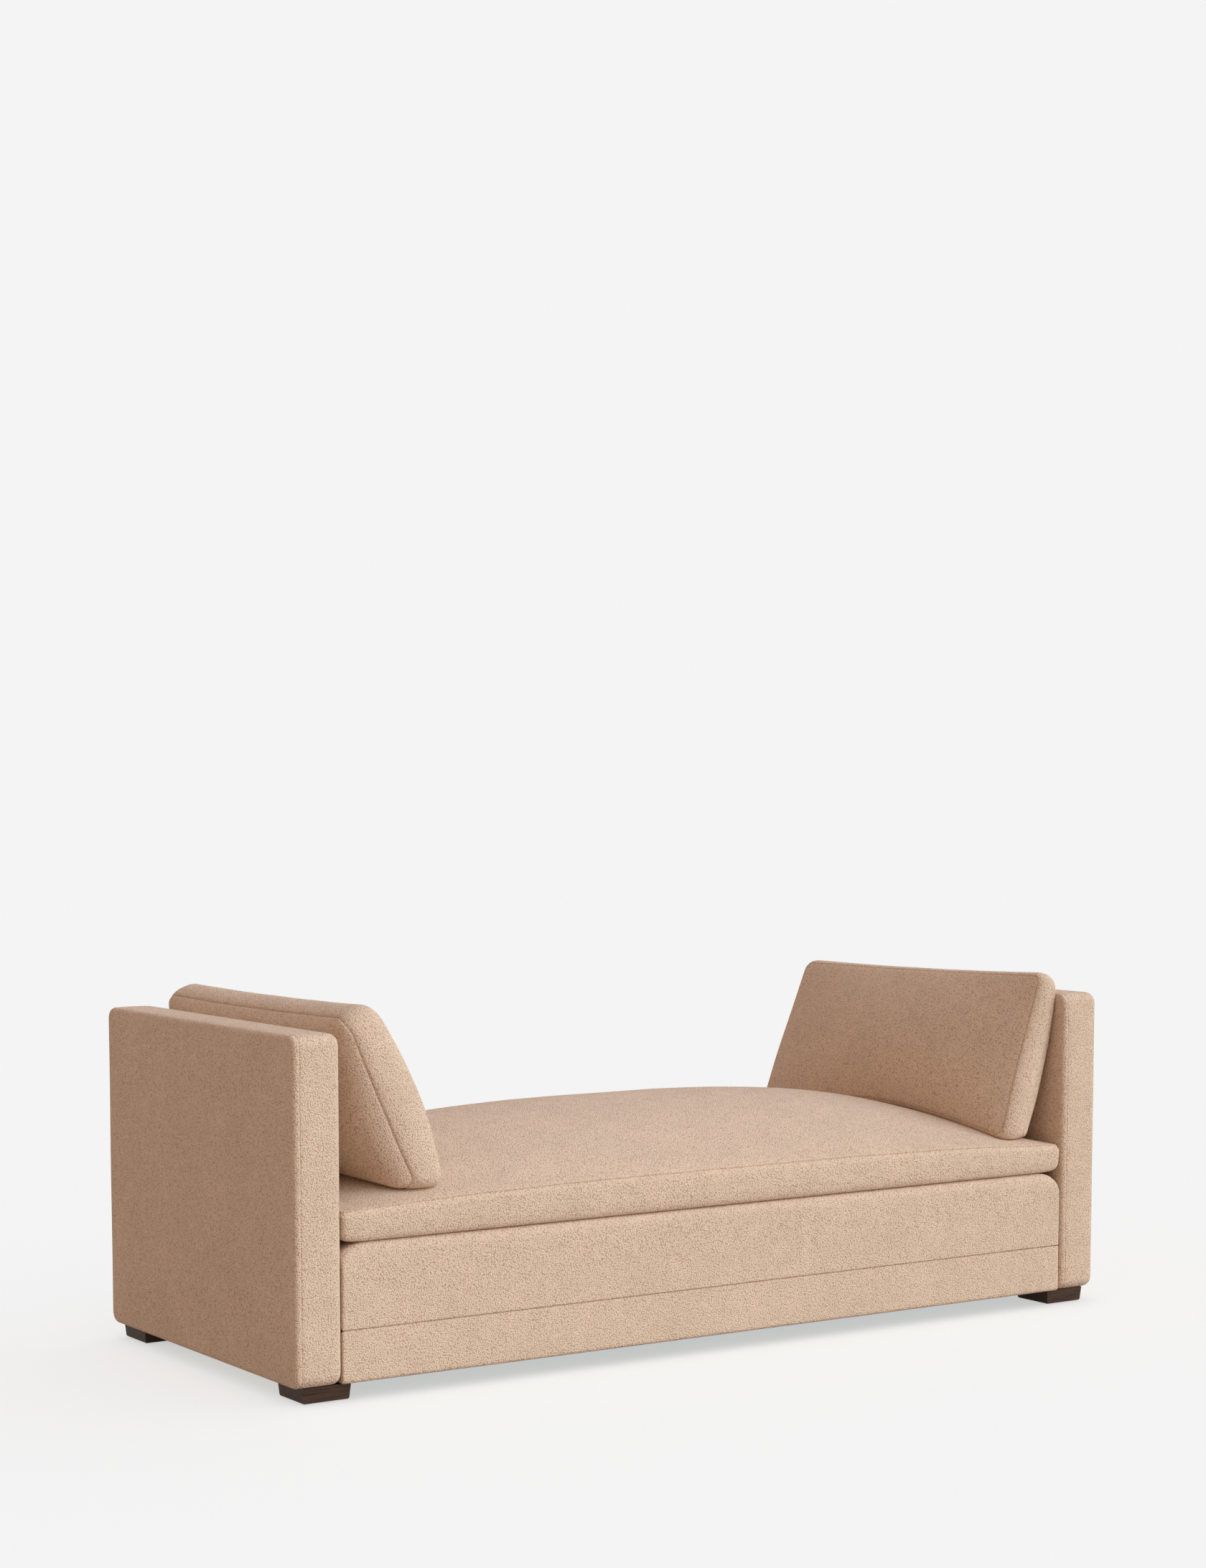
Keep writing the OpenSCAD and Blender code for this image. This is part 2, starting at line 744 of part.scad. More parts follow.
module base_skin() {
    window_y = half_d - rail_setback - base_hem_w;
    difference() {
        base_form(0);
        base_form(cloth_t, half_l);
        block([-half_l, -window_y, 0], [half_l, window_y, ground_gap + cloth_t + over]);
    }
}

module deck_cloth() {
    color(boucle) intersection() {
        base_skin();
        block([-half_l, seam_gap - deck_seam_y, rail_top], [half_l, deck_seam_y - seam_gap, arm_h]);
    }
}

module rear_panel_cloth() {
    color(boucle) intersection() {
        base_skin();
        block([-half_l, deck_seam_y, band_z + seam_gap / 2], [half_l, half_d, arm_h]);
    }
}

module rear_band_cloth() {
    color(boucle) intersection() {
        base_skin();
        block([-half_l, 0, 0], [half_l, half_d, band_z - seam_gap / 2]);
    }
}

module rear_rail_foam() {
    color(foam_colour) intersection() {
        base_form(cloth_t + gap);
        block([-half_l, rail_out_y + gap, frame_z], [half_l, half_d, felt_z + felt_t]);
    }
}

module deck_foam() {
    color(foam_colour) intersection() {
        base_form(cloth_t + gap);
        block([-half_l, -half_d, deck_foam_z], [half_l, half_d, arm_h]);
    }
}

module dust_cover() {
    edge_y = half_d - rail_setback - base_hem_w / 2;
    color(cambric) difference() {
        block([-base_end, -edge_y, ground_gap - dust_t], [base_end, edge_y, ground_gap]);
        four_corners() block(
            [leg_mid_x - leg_w / 2 - over, leg_mid_y - leg_w / 2 - over, 0],
            [half_l, half_d, ground_gap + over]);
    }
}

// Legs

module leg_outline() {
    half_top = leg_w / 2;
    half_low = half_top - leg_taper;
    low = glide_proud;
    right = concat(arc([half_low - leg_edge_r, low + leg_edge_r], leg_edge_r, leg_edge_r, -90, 0, fold_steps),
                   [[half_top, ground_gap]]);
    left = [for (i = [len(right) - 1:-1:0]) [-right[i].x, right[i].y]];
    rotate([90, 0, 0]) linear_extrude(leg_w + 2 * over, center = true) polygon(concat(right, left));
}

module leg_screw_holes(d) {
    for (x = screw_x) translate([x, leg_mid_y, 0])
        cylinder(d = d, h = screw_recess + screw_l + over, $fn = round_fn);
}

module leg() {
    color(dark_wood) difference() {
        translate([leg_mid_x, leg_mid_y, 0]) intersection() {
            leg_outline();
            rotate([0, 0, 90]) leg_outline();
        }
        leg_screw_holes(screw_d + 2 * fit);
        for (x = screw_x)
            translate([x, leg_mid_y, 0]) cylinder(d = screw_recess_d, h = screw_recess, $fn = round_fn);
        translate([leg_mid_x, leg_mid_y, 0]) {
            cylinder(d = glide_d + fit, h = glide_t, $fn = round_fn);
            cylinder(d = glide_pin_d + fit, h = glide_t + glide_pin_l + fit, $fn = round_fn);
        }
    }
}

module leg_screws() {
    head_z = screw_recess - screw_head_t;
    color(steel) four_corners() for (x = screw_x) translate([x, leg_mid_y, 0]) {
        difference() {
            translate([0, 0, head_z]) cylinder(d = screw_head_d, h = screw_head_t, $fn = round_fn);
            translate([0, 0, head_z - over]) cylinder(d = key_d, h = key_depth + over, $fn = 6);
        }
        translate([0, 0, screw_recess - sunk])
            cylinder(d = screw_d, h = screw_l - screw_tip_l, $fn = round_fn);
        translate([0, 0, screw_recess + screw_l - screw_tip_l - 2 * sunk])
            cylinder(d1 = screw_d, d2 = screw_tip_d, h = screw_tip_l, $fn = round_fn);
    }
}

module leg_glides() {
    color(nylon) four_corners() translate([leg_mid_x, leg_mid_y, 0]) {
        cylinder(d = glide_d, h = glide_t, $fn = round_fn);
        translate([0, 0, glide_t - sunk]) cylinder(d = glide_pin_d, h = glide_pin_l, $fn = round_fn);
    }
}

// Seat cushion

module zip_space(z_room, low_y) {
    block([-zip_l / 2 - gap, low_y, zip_z - z_room], [zip_l / 2 + gap, half_d + over, zip_z + z_room]);
}

module seat_cushion_cover() {
    color(boucle) difference() {
        seat_form(0);
        seat_form(cloth_t);
        zip_space(slider_w / 2 + slider_play, zip_tape_y);
    }
}

module seat_core_space(grow) {
    translate([0, 0, seat_z + wrap_t - grow]) linear_extrude(seat_seam_z - seat_z - 2 * wrap_t + 2 * grow)
        polygon(whole_loop(seat_hx - core_inset + grow, seat_hy - core_inset + grow, seat_corner_r));
}

module seat_cushion_wrap() {
    color(wadding) difference() {
        seat_form(cloth_t + gap);
        seat_core_space(gap);
        zip_space(zip_w / 2 + gap, zip_tape_y - zip_tape_t - gap);
    }
}

module seat_cushion_core() {
    color(foam_colour) seat_core_space(0);
}

module zip_strip(inset, width, y0, y1) {
    block([inset - zip_l / 2, y0, zip_z - width / 2], [zip_l / 2 - inset, y1, zip_z + width / 2]);
}

module seat_zip() {
    color(tape_colour) {
        zip_strip(0, zip_w, zip_tape_y - zip_tape_t, zip_tape_y);
        zip_strip(zip_chain_in, zip_chain_w, zip_tape_y - sunk, zip_tape_y + zip_chain_t);
    }
}

// The slider lies outside the chain, and its two lips pass above and below it

module seat_zip_slider() {
    x1 = zip_l / 2 - zip_stop;
    x0 = x1 - slider_l;
    plate_y = zip_tape_y + zip_chain_t + gap;
    lip = zip_chain_w / 2 + gap;
    color(steel) difference() {
        union() {
            block([x0, zip_tape_y + gap, zip_z - slider_w / 2],
                  [x1, plate_y + slider_wall, zip_z + slider_w / 2]);
            block([x0 + bridge_in, plate_y + slider_wall - sunk, zip_z - bridge_w / 2],
                  [x1 - bridge_in, plate_y + slider_wall + bridge_t, zip_z + bridge_w / 2]);
        }
        block([x0 - over, zip_tape_y, zip_z - lip], [x1 + over, plate_y, zip_z + lip]);
    }
}

// Bolsters

module bolster_cover(lean) {
    color(boucle) difference() {
        bolster_form(0, lean);
        bolster_form(cloth_t, lean);
    }
}

module bolster_fill(lean) {
    color(wadding) bolster_form(cloth_t + gap, lean);
}

mirror([1, 0, 0]) arm_cover();  // left_arm_cover
mirror([1, 0, 0]) arm_foam();  // left_arm_foam
mirror([1, 0, 0]) arm_front_post();  // left_arm_front_post
mirror([1, 0, 0]) arm_post();  // left_arm_rear_post
mirror([1, 0, 0]) arm_top_rail();  // left_arm_top_rail
mirror([1, 0, 0]) arm_cross_rail(mid_rail_z);  // left_arm_mid_rail
mirror([1, 0, 0]) arm_cross_rail(frame_z);  // left_arm_bottom_rail
mirror([1, 0, 0]) arm_inner_panel();  // left_arm_inner_panel
mirror([1, 0, 0]) arm_outer_panel();  // left_arm_outer_panel
arm_cover();  // right_arm_cover
arm_foam();  // right_arm_foam
arm_front_post();  // right_arm_front_post
arm_post();  // right_arm_rear_post
arm_top_rail();  // right_arm_top_rail
arm_cross_rail(mid_rail_z);  // right_arm_mid_rail
arm_cross_rail(frame_z);  // right_arm_bottom_rail
arm_inner_panel();  // right_arm_inner_panel
arm_outer_panel();  // right_arm_outer_panel
arm_bolts();
arm_bolt_washers();
arm_tee_nuts();
front_rail();
rear_rail();
mirror([1, 0, 0]) end_rail();  // left_end_rail
end_rail();  // right_end_rail
mirror([1, 0, 0]) stretcher();  // left_stretcher
stretcher();  // right_stretcher
corner_blocks();
cross_webbing();
long_webbing();
deck_felt();
deck_foam();
deck_cloth();
mirror([0, 1, 0]) rear_rail_foam();  // front_rail_foam
rear_rail_foam();
mirror([0, 1, 0]) rear_panel_cloth();  // front_panel_cloth
rear_panel_cloth();
mirror([0, 1, 0]) rear_band_cloth();  // front_band_cloth
rear_band_cloth();
dust_cover();
mirror([1, 0, 0]) mirror([0, 1, 0]) leg();  // front_left_leg
mirror([0, 1, 0]) leg();  // front_right_leg
mirror([1, 0, 0]) leg();  // rear_left_leg
leg();  // rear_right_leg
leg_screws();
leg_glides();
seat_cushion_cover();
seat_cushion_wrap();
seat_cushion_core();
seat_zip();
seat_zip_slider();
mirror([1, 0, 0]) bolster_cover(left_lean);  // left_bolster_cover
mirror([1, 0, 0]) bolster_fill(left_lean);  // left_bolster_fill
bolster_cover(right_lean);  // right_bolster_cover
bolster_fill(right_lean);  // right_bolster_fill
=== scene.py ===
# %% [markdown]
# A chaise longue without a back: two upholstered arms, a webbed timber base on block legs, one loose
# seat cushion and two loose bolsters. All of it but the legs wears one looped cloth, a boucle.
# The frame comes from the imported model, so every piece built here already has its place and size.

# %% Load the frame
import json
import math

import bmesh
import bpy
import numpy as np
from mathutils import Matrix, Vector

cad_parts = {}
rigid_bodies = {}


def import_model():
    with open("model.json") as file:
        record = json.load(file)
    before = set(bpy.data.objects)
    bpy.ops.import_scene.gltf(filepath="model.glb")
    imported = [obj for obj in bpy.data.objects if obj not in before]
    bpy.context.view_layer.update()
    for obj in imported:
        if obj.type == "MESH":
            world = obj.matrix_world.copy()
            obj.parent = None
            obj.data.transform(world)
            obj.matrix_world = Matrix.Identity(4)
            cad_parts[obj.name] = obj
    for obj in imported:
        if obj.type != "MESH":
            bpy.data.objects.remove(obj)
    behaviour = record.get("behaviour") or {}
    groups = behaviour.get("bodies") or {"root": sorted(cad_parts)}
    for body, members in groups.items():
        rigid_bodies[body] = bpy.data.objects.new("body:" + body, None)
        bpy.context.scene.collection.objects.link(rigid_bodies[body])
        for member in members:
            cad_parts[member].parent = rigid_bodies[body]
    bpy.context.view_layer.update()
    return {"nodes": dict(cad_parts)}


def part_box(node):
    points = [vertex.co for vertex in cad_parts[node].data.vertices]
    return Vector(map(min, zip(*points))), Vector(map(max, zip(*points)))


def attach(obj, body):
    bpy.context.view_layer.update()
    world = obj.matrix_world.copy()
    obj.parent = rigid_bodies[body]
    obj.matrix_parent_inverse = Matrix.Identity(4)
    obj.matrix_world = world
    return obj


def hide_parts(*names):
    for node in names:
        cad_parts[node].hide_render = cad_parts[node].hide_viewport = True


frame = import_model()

nodes = frame["nodes"]
MM = 0.001

# %% [markdown]
# The main sizes are read off the frame, so that a wider base or a thicker arm carries over to the cloth.
# Only what the frame can't tell, such as where a seam runs, is written as a size of its own.

# %% Measure the frame
arm_low, arm_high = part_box("right_arm_cover")
seat_low, seat_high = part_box("seat_cushion_cover")
deck_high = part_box("deck_cloth")[1]
panel_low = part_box("front_panel_cloth")[0]
band_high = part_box("front_band_cloth")[1]
zip_low, zip_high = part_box("seat_zip")

arm_inner_x = arm_low.x
arm_outer_x = arm_high.x
arm_half_depth = arm_high.y
arm_top = arm_high.z
arm_foot = arm_low.z
deck_top = deck_high.z
base_front = -panel_low.y
base_end = deck_high.x
band_seam = band_high.z
deck_seam = deck_high.y
print("arms from", round(arm_inner_x, 4), "to", round(arm_outer_x, 4), "m, deck at", round(deck_top, 4), "m")

# %% [markdown]
# Cloth is never quite even. Random numbers could make it uneven, but a sum of a few sine waves with
# fixed phases is as soft, is the same at every run, and can be taken of whole arrays of points at
# once. Two more curves come back often: a smooth step, and the roll-off of a padded edge.

# %% Soft waves and curves
def waves(a, b, length, phase=0.0):
    """Smooth unevenness from -1 to 1 over two directions, with bumps about `length` apart."""
    k = 2 * math.pi / length
    total = np.sin(k * a + 1.3 * phase) * np.cos(k * 0.81 * b + 0.7 + phase)
    total = total + 0.6 * np.sin(k * (0.57 * a + 0.93 * b) + 2.1 + 2 * phase)
    total = total + 0.4 * np.cos(k * (1.43 * a - 0.61 * b) + 0.4 + 3 * phase)
    return total / 2.0


def smooth(t):
    t = np.clip(t, 0.0, 1.0)
    return t * t * (3 - 2 * t)


def roll_off(t):
    """From 0 to 1 along a quarter circle: level at first, steep at the end."""
    return 1 - np.sqrt(1 - np.clip(t, 0, 1) ** 2)


print("waves at two points", waves(np.array([0.0, 0.1]), np.array([0.0, 0.0]), 0.2))

# %% [markdown]
# A piece could be modelled by hand, or pulled out of a box with modifiers. Here each mesh is worked
# out as arrays of points and faces instead, so that every edge follows the frame's own sizes. Blender
# turns the normals outward, so a mirrored piece needs no care, and every piece is smooth shaded.

# %% Make a mesh from points and faces
def make_mesh(name, points, faces, material=None, seam=None):
    """A smooth piece. `seam` marks each point with how near it lies to a seam, from 0 to 1, for the cloth's
    painted seam shade.
    """
    mesh = bpy.data.meshes.new(name)
    mesh.from_pydata([tuple(p) for p in points], [], faces)
    if seam is not None:
        mark = mesh.attributes.new("seam", "FLOAT", "POINT")
        mark.data.foreach_set("value", np.asarray(seam, dtype=np.float32))
    form = bmesh.new()
    form.from_mesh(mesh)
    bmesh.ops.recalc_face_normals(form, faces=form.faces)
    form.to_mesh(mesh)
    form.free()
    mesh.shade_smooth()
    piece = bpy.data.objects.new(name, mesh)
    bpy.context.scene.collection.objects.link(piece)
    if material is not None:
        mesh.materials.append(material)
    return piece


def subdivide(piece):
    """Subdivide once, for good: the export and the pose views then see one plain mesh."""
    modifier = piece.modifiers.new("smooth", "SUBSURF")
    modifier.levels = modifier.render_levels = 1
    modifier.boundary_smooth = "PRESERVE_CORNERS"
    graph = bpy.context.evaluated_depsgraph_get()
    mesh = bpy.data.meshes.new_from_object(piece.evaluated_get(graph), depsgraph=graph)
    piece.modifiers.clear()
    old = piece.data
    piece.data = mesh
    mesh.name = piece.name
    bpy.data.meshes.remove(old)
    mesh.shade_smooth()


print("mesh helpers ready")

# %% [markdown]
# Every soft piece stands for one plain node of the frame, which is hidden but still there to be
# bumped into. One helper hides that node and hangs the piece on the body that carries it.

# %% Put a soft piece in its node's place
def settle(piece, node, body):
    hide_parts(node)
    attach(piece, body)
    print(piece.name, "stands for", node, "with", len(piece.data.polygons), "faces")


print("ready to settle soft pieces")

# %% [markdown]
# An arm, a seat cushion and a bolster are all the same thing to an upholsterer: two panels of cloth
# and a strip, the boxing, sewn between them all the way round. A subdivided box could stand in for
# one, but its quads would run askew at the seams. So a panel is a grid of quads laid out inside a
# rounded rectangle, with its rows close together where the cloth will bend.

# %% A rounded panel as a grid
def spread(half, step, fine):
    """Places from -half to half: close together near both ends, as `fine` says, and even between them."""
    edge = [half - f for f in fine]
    inner = edge[-1]
    count = max(2, round(2 * inner / step))
    middle = [inner * (2 * i / count - 1) for i in range(1, count)]
    return np.array([-e for e in edge] + middle + edge[::-1])


def outline_grid(half_u, half_v, radius, across, straight, turns):
    """Points of a rounded rectangle as a grid. `across` holds shares of the half width, `straight`
    shares of the straight part of the side, and each corner has `turns` rows."""
    run = half_v - radius
    bend = np.radians(90) * np.arange(1, turns + 1) / turns
    v_straight = np.asarray(straight) * run
    v_corner = run + radius * np.sin(bend)
    limit_corner = half_u - radius + radius * np.cos(bend)
    v = np.concatenate([-v_corner[::-1], v_straight, v_corner])
    limit = np.concatenate([limit_corner[::-1], np.full(len(v_straight), half_u), limit_corner])
    u = np.asarray(across)[:, None] * limit[None, :]
    return np.stack([u, np.broadcast_to(v, u.shape)], axis=-1)


def rim_of(grid):
    """The border of a grid as one loop, in the order bottom, right, top, left."""
    return np.concatenate([grid[:, 0], grid[-1, 1:], grid[-2::-1, -1], grid[0, -2:0:-1]])


print("a small panel has", outline_grid(0.5, 0.5, 0.1, (-1, 0, 1), (-1, 0, 1), 2).shape[:2], "points")

# %% [markdown]
# Between the two panels the boxing is a row of rings. A ring is a pair: how far it lies inside the
# outline, and how far it lies through the thickness. Such a list reads like the profile of the real
# cushion's edge, so a sewn groove or a rolled edge is only two or three more pairs.

# %% Panels and rings make a boxed form
LEAST_RADIUS = 4 * MM


class BoxedForm:
    """Panel, rings and panel of one size. A ring is (inset, value, ...): the values go with its points."""

    def __init__(self, half_u, half_v, radius, step, fine, turns, rings):
        self.size = (half_u, half_v, radius)
        self.across = spread(half_u, step, fine) / half_u
        rows = max(2, round(2 * (half_v - radius) / step))
        self.straight = np.linspace(-1, 1, rows + 1)
        self.turns = turns
        self.rings = rings
        self.columns, self.rows = self.grid(0.0).shape[:2]
        self.loop = len(rim_of(self.grid(0.0)))
        self.panel = self.columns * self.rows

    def grid(self, inset):
        half_u, half_v, radius = self.size
        return outline_grid(half_u - inset, half_v - inset, max(radius - inset, LEAST_RADIUS),
                            self.across, self.straight, self.turns)

    def points(self):
        """Every point as (u, v, value, ...): first panel, rings, last panel. The first and the last
        ring are the borders of the panels."""
        rows = []
        for number, (inset, *values) in enumerate(self.rings):
            whole = number in (0, len(self.rings) - 1)
            flat = self.grid(inset).reshape(-1, 2) if whole else rim_of(self.grid(inset))
            rows.append(np.column_stack([flat, np.tile(values, (len(flat), 1))]))
        return np.concatenate(rows)

    def loops(self):
        """Indices of each ring's points."""
        grid = np.arange(self.panel).reshape(self.columns, self.rows)
        between = [self.panel + self.loop * k + np.arange(self.loop) for k in range(len(self.rings) - 2)]
        return [rim_of(grid), *between, rim_of(grid + self.panel + self.loop * (len(self.rings) - 2))]

    def mark(self, rings):
        """1 at the points of the given rings, where the cloth is sewn, and 0 elsewhere: the mask of the
        cloth's painted seam shade.
        """
        marked = np.zeros(2 * self.panel + self.loop * (len(self.rings) - 2))
        loops = self.loops()
        for ring in rings:
            marked[loops[ring]] = 1.0
        return marked

    def faces(self):
        grid = np.arange(self.panel).reshape(self.columns, self.rows)
        last = grid + self.panel + self.loop * (len(self.rings) - 2)
        faces = []
        for panel, flip in ((grid, 1), (last, -1)):
            corners = [panel[:-1, :-1], panel[1:, :-1], panel[1:, 1:], panel[:-1, 1:]]
            faces += np.stack(corners, axis=-1).reshape(-1, 4)[:, ::flip].tolist()
        loops = self.loops()
        for one, two in zip(loops[:-1], loops[1:]):
            faces += np.stack([one, two, np.roll(two, -1), np.roll(one, -1)], axis=-1).tolist()
        return faces


print("boxed forms ready")

# %% [markdown]
# The cases are stuffed by simulation: Blender's Cloth fills each one with air for twenty frames while
# its seams are held where the frame and the photographed shape want them. A formula could draw the
# crown alone, but air rounds the cloth between its seams as no formula does. Gravity stays off, since
# the weight is already in the form. What comes back is only how far each point moved, capped, so
# that a seam's fine rows keep their order.

# %% Stuff a case with air
AIR_PRESSURE = 4.0
AIR_REACH = 9 * MM
AIR_FRAMES = 20


def stuff(form, points, held):
    """How far every point of `form` moves in a short simulation, at most `AIR_REACH`."""
    case = make_mesh("case", points, form.faces())
    group = case.vertex_groups.new(name="sewn")
    group.add([int(i) for i in np.flatnonzero(held)], 1.0, "REPLACE")
    scene = bpy.context.scene
    air = case.modifiers.new("air", "CLOTH")
    cloth = air.settings
    cloth.quality = 5
    cloth.mass = 0.5
    cloth.tension_stiffness = cloth.compression_stiffness = 12.0
    cloth.shear_stiffness = 8.0
    cloth.bending_stiffness = 3.0
    cloth.use_pressure = True
    cloth.uniform_pressure_force = AIR_PRESSURE
    cloth.vertex_group_mass = "sewn"
    cloth.effector_weights.gravity = 0.0
    air.point_cache.frame_start = 1
    air.point_cache.frame_end = AIR_FRAMES
    for frame_number in range(1, AIR_FRAMES + 1):
        scene.frame_set(frame_number)
    graph = bpy.context.evaluated_depsgraph_get()
    blown = case.evaluated_get(graph).to_mesh()
    moved = np.empty(len(points) * 3)
    blown.vertices.foreach_get("co", moved)
    case.evaluated_get(graph).to_mesh_clear()
    scene.frame_set(1)
    mesh = case.data
    bpy.data.objects.remove(case)
    bpy.data.meshes.remove(mesh)
    shift = moved.reshape(-1, 3) - points
    length = np.linalg.norm(shift, axis=1, keepdims=True)
    shift = shift * np.minimum(1.0, AIR_REACH / np.maximum(length, 1e-9))
    print("stuffed", len(points), "points, moved", round(float(length.mean()) / MM, 1),
          "mm on average, before the cap at most", round(float(length.max()) / MM, 1), "mm")
    return shift


print("simulation is", "on")

# %% [markdown]
# A finish could be a picture laid over the piece. A small node tree is better here: it has no edge
# and no repeat, and its grain is given in real millimetres. One helper makes a node in any tree, a
# material's or the room's, and sets or links its inputs in the same line.

# %% Make a node
def add_node(tree, kind, settings=(), **inputs):
    """A new node. An input goes by its socket's name, or as i0, i1 and so on by its number, and takes
    a value or another node's output."""
    node = tree.nodes.new(kind)
    for key, value in dict(settings).items():
        setattr(node, key, value)
    for key, value in inputs.items():
        socket = node.inputs[int(key[1:])] if key[1:].isdigit() else node.inputs[key.replace("_", " ")]
        if hasattr(value, "node"):
            tree.links.new(value, socket)
        else:
            socket.default_value = value
    return node


print("nodes can be made")

# %% [markdown]
# Every finish is then told in the same few words: noise, cells and waves are patterns, span and ramp
# turn a pattern into a shade, and bump turns it into a height. Whatever is the same all over a
# surface, such as its sheen, is set on the shader's own socket, so that an export keeps it.

# %% A finish and its patterns
class Finish:
    def __init__(self, name, roughness, specular=0.5, metallic=0.0, sheen=0.0, sheen_roughness=0.5):
        self.material = bpy.data.materials.new(name)
        self.material.use_nodes = True
        self.tree = self.material.node_tree
        self.shader = self.tree.nodes["Principled BSDF"]
        self.shader.inputs["Roughness"].default_value = roughness
        self.shader.inputs["Specular IOR Level"].default_value = specular
        self.shader.inputs["Metallic"].default_value = metallic
        self.shader.inputs["Sheen Weight"].default_value = sheen
        self.shader.inputs["Sheen Roughness"].default_value = sheen_roughness
        self.place = self.add("ShaderNodeTexCoord").outputs["Object"]

    def add(self, kind, settings=(), **inputs):
        return add_node(self.tree, kind, settings, **inputs)

    def stretched(self, scale):
        """Object coordinates, multiplied along each axis: a small number draws a pattern out."""
        return self.add("ShaderNodeMapping", Vector=self.place, Scale=scale).outputs["Vector"]

    def noise(self, scale, detail=3.0, rough=0.5, vector=None, distort=0.0):
        where = self.place if vector is None else vector
        return self.add("ShaderNodeTexNoise", Vector=where, Scale=scale, Detail=detail,
                        Roughness=rough, Distortion=distort).outputs["Fac"]

    def cells(self, scale, vector=None):
        where = self.place if vector is None else vector
        return self.add("ShaderNodeTexVoronoi", Vector=where, Scale=scale).outputs["Distance"]

    def wave(self, scale, direction, distort=0.0, detail_scale=1.0):
        return self.add("ShaderNodeTexWave", {"bands_direction": direction}, Vector=self.place, Scale=scale,
                        Distortion=distort, Detail_Scale=detail_scale).outputs["Fac"]

    def span(self, value, low, high, out_low=0.0, out_high=1.0):
        return self.add("ShaderNodeMapRange", i0=value, i1=low, i2=high, i3=out_low,
                        i4=out_high).outputs["Result"]

    def calc(self, kind, a, b):
        return self.add("ShaderNodeMath", {"operation": kind}, i0=a, i1=b).outputs["Value"]

    def sum(self, a, b):
        return self.calc("ADD", a, b)

    def times(self, a, b):
        return self.calc("MULTIPLY", a, b)

    def ramp(self, value, stops):
        node = self.add("ShaderNodeValToRGB", Fac=value)
        band = node.color_ramp
        while len(band.elements) < len(stops):
            band.elements.new(0.5)
        for element, (at, colour) in zip(band.elements, stops):
            element.position = at
            element.color = (*colour, 1.0)
        return node.outputs["Color"]

    def tint(self, colour, factor, other, kind="MULTIPLY"):
        node = self.add("ShaderNodeMix", {"data_type": "RGBA", "blend_type": kind})
        for key, value in ((0, factor), (6, colour), (7, other)):
            if hasattr(value, "node"):
                self.tree.links.new(value, node.inputs[key])
            else:
                node.inputs[key].default_value = value if key == 0 else (*value, 1.0)
        return node.outputs[2]

    def colour(self, value):
        self.tree.links.new(value, self.shader.inputs["Base Color"])

    def gloss(self, value):
        self.tree.links.new(value, self.shader.inputs["Roughness"])

    def bump(self, height, depth, strength):
        node = self.add("ShaderNodeBump", Height=height, Strength=strength, Distance=depth)
        self.tree.links.new(node.outputs["Normal"], self.shader.inputs["Normal"])


print("finishes can be mixed")

# %% [markdown]
# Colours are written as a picture editor shows them, from 0 to 255, because that is how they are
# compared with the photograph. Blender reckons in linear light, so each channel is turned first.

# %% Colours
def linear(value):
    share = value / 255
    return share / 12.92 if share <= 0.04045 else ((share + 0.055) / 1.055) ** 2.4


def srgb(r, g, b):
    return tuple(linear(value) for value in (r, g, b))


def shaded(colour, share):
    """The colour made darker, or paler where `share` is above 1."""
    return tuple(min(1.0, share * c) for c in colour)


print("middle grey is", round(srgb(128, 128, 128)[0], 3), "in linear light")

# %% [markdown]
# Boucle is woven from a looped yarn: close up it is a field of curled nubs about 3 mm across, pale on
# their crowns, with darker pits between them. Fibres could be grown as hair, but the nubs are too
# many and too small for the mesh. So warped Voronoi cells give the nubs, a finer noise their curls,
# and slow noise the slight change of shade from place to place, as bump. The pits are painted darker:
# painted shade for the shadow that real pits hold and bump alone can't cast. The cloth along a seam
# gets a painted shade line in the same way, for the shadow in its groove.

# %% The looped cloth
NUB = 3.0 * MM
CLOTH_PALE = srgb(236, 211, 187)
CLOTH_MID = srgb(221, 193, 168)
# The pit colour is painted shade: the dark that real pits hold between the nubs.
CLOTH_PIT = srgb(194, 162, 134)
# The seam colour is painted shade: a darker line along each seam for the shadow in its groove.
SEAM_PAINTED_SHADE = srgb(232, 220, 208)


def looped_cloth():
    cloth = Finish("boucle", roughness=0.92, specular=0.2, sheen=0.12, sheen_roughness=0.45)
    warp = cloth.add("ShaderNodeTexNoise", Vector=cloth.place, Scale=0.6 / NUB, Detail=2.0).outputs["Color"]
    curl = cloth.add("ShaderNodeVectorMath", {"operation": "MULTIPLY_ADD"}, i0=warp,
                     i1=(0.7 * NUB,) * 3, i2=cloth.place).outputs["Vector"]
    nub = cloth.cells(1 / NUB, curl)
    crown = cloth.span(nub, 0.85, 0.15)
    hair = cloth.noise(2.4 / NUB, 2.0, 0.6, curl)
    height = cloth.sum(crown, cloth.times(hair, 0.45))
    shade = cloth.ramp(cloth.span(height, 0.25, 1.2),
                       ((0.0, CLOTH_PIT), (0.35, CLOTH_MID), (0.8, CLOTH_PALE)))
    patch = cloth.span(cloth.noise(9.0, 3.0), 0.3, 0.7, 0.97, 1.03)
    fleck = cloth.span(cloth.noise(0.13 / NUB, 2.0), 0.3, 0.7, 0.96, 1.04)
    shade = cloth.tint(shade, 1.0, cloth.times(patch, fleck))
    # The seam mask blends in the painted seam shade along every seam.
    sewn = cloth.add("ShaderNodeAttribute", {"attribute_name": "seam"}).outputs["Fac"]
    cloth.colour(cloth.tint(shade, cloth.span(sewn, 0.15, 0.85), SEAM_PAINTED_SHADE))
    cloth.bump(height, 1.5 * MM, 0.9)
    return cloth.material


boucle = looped_cloth()
print("cloth", boucle.name, "nub", NUB / MM, "mm")
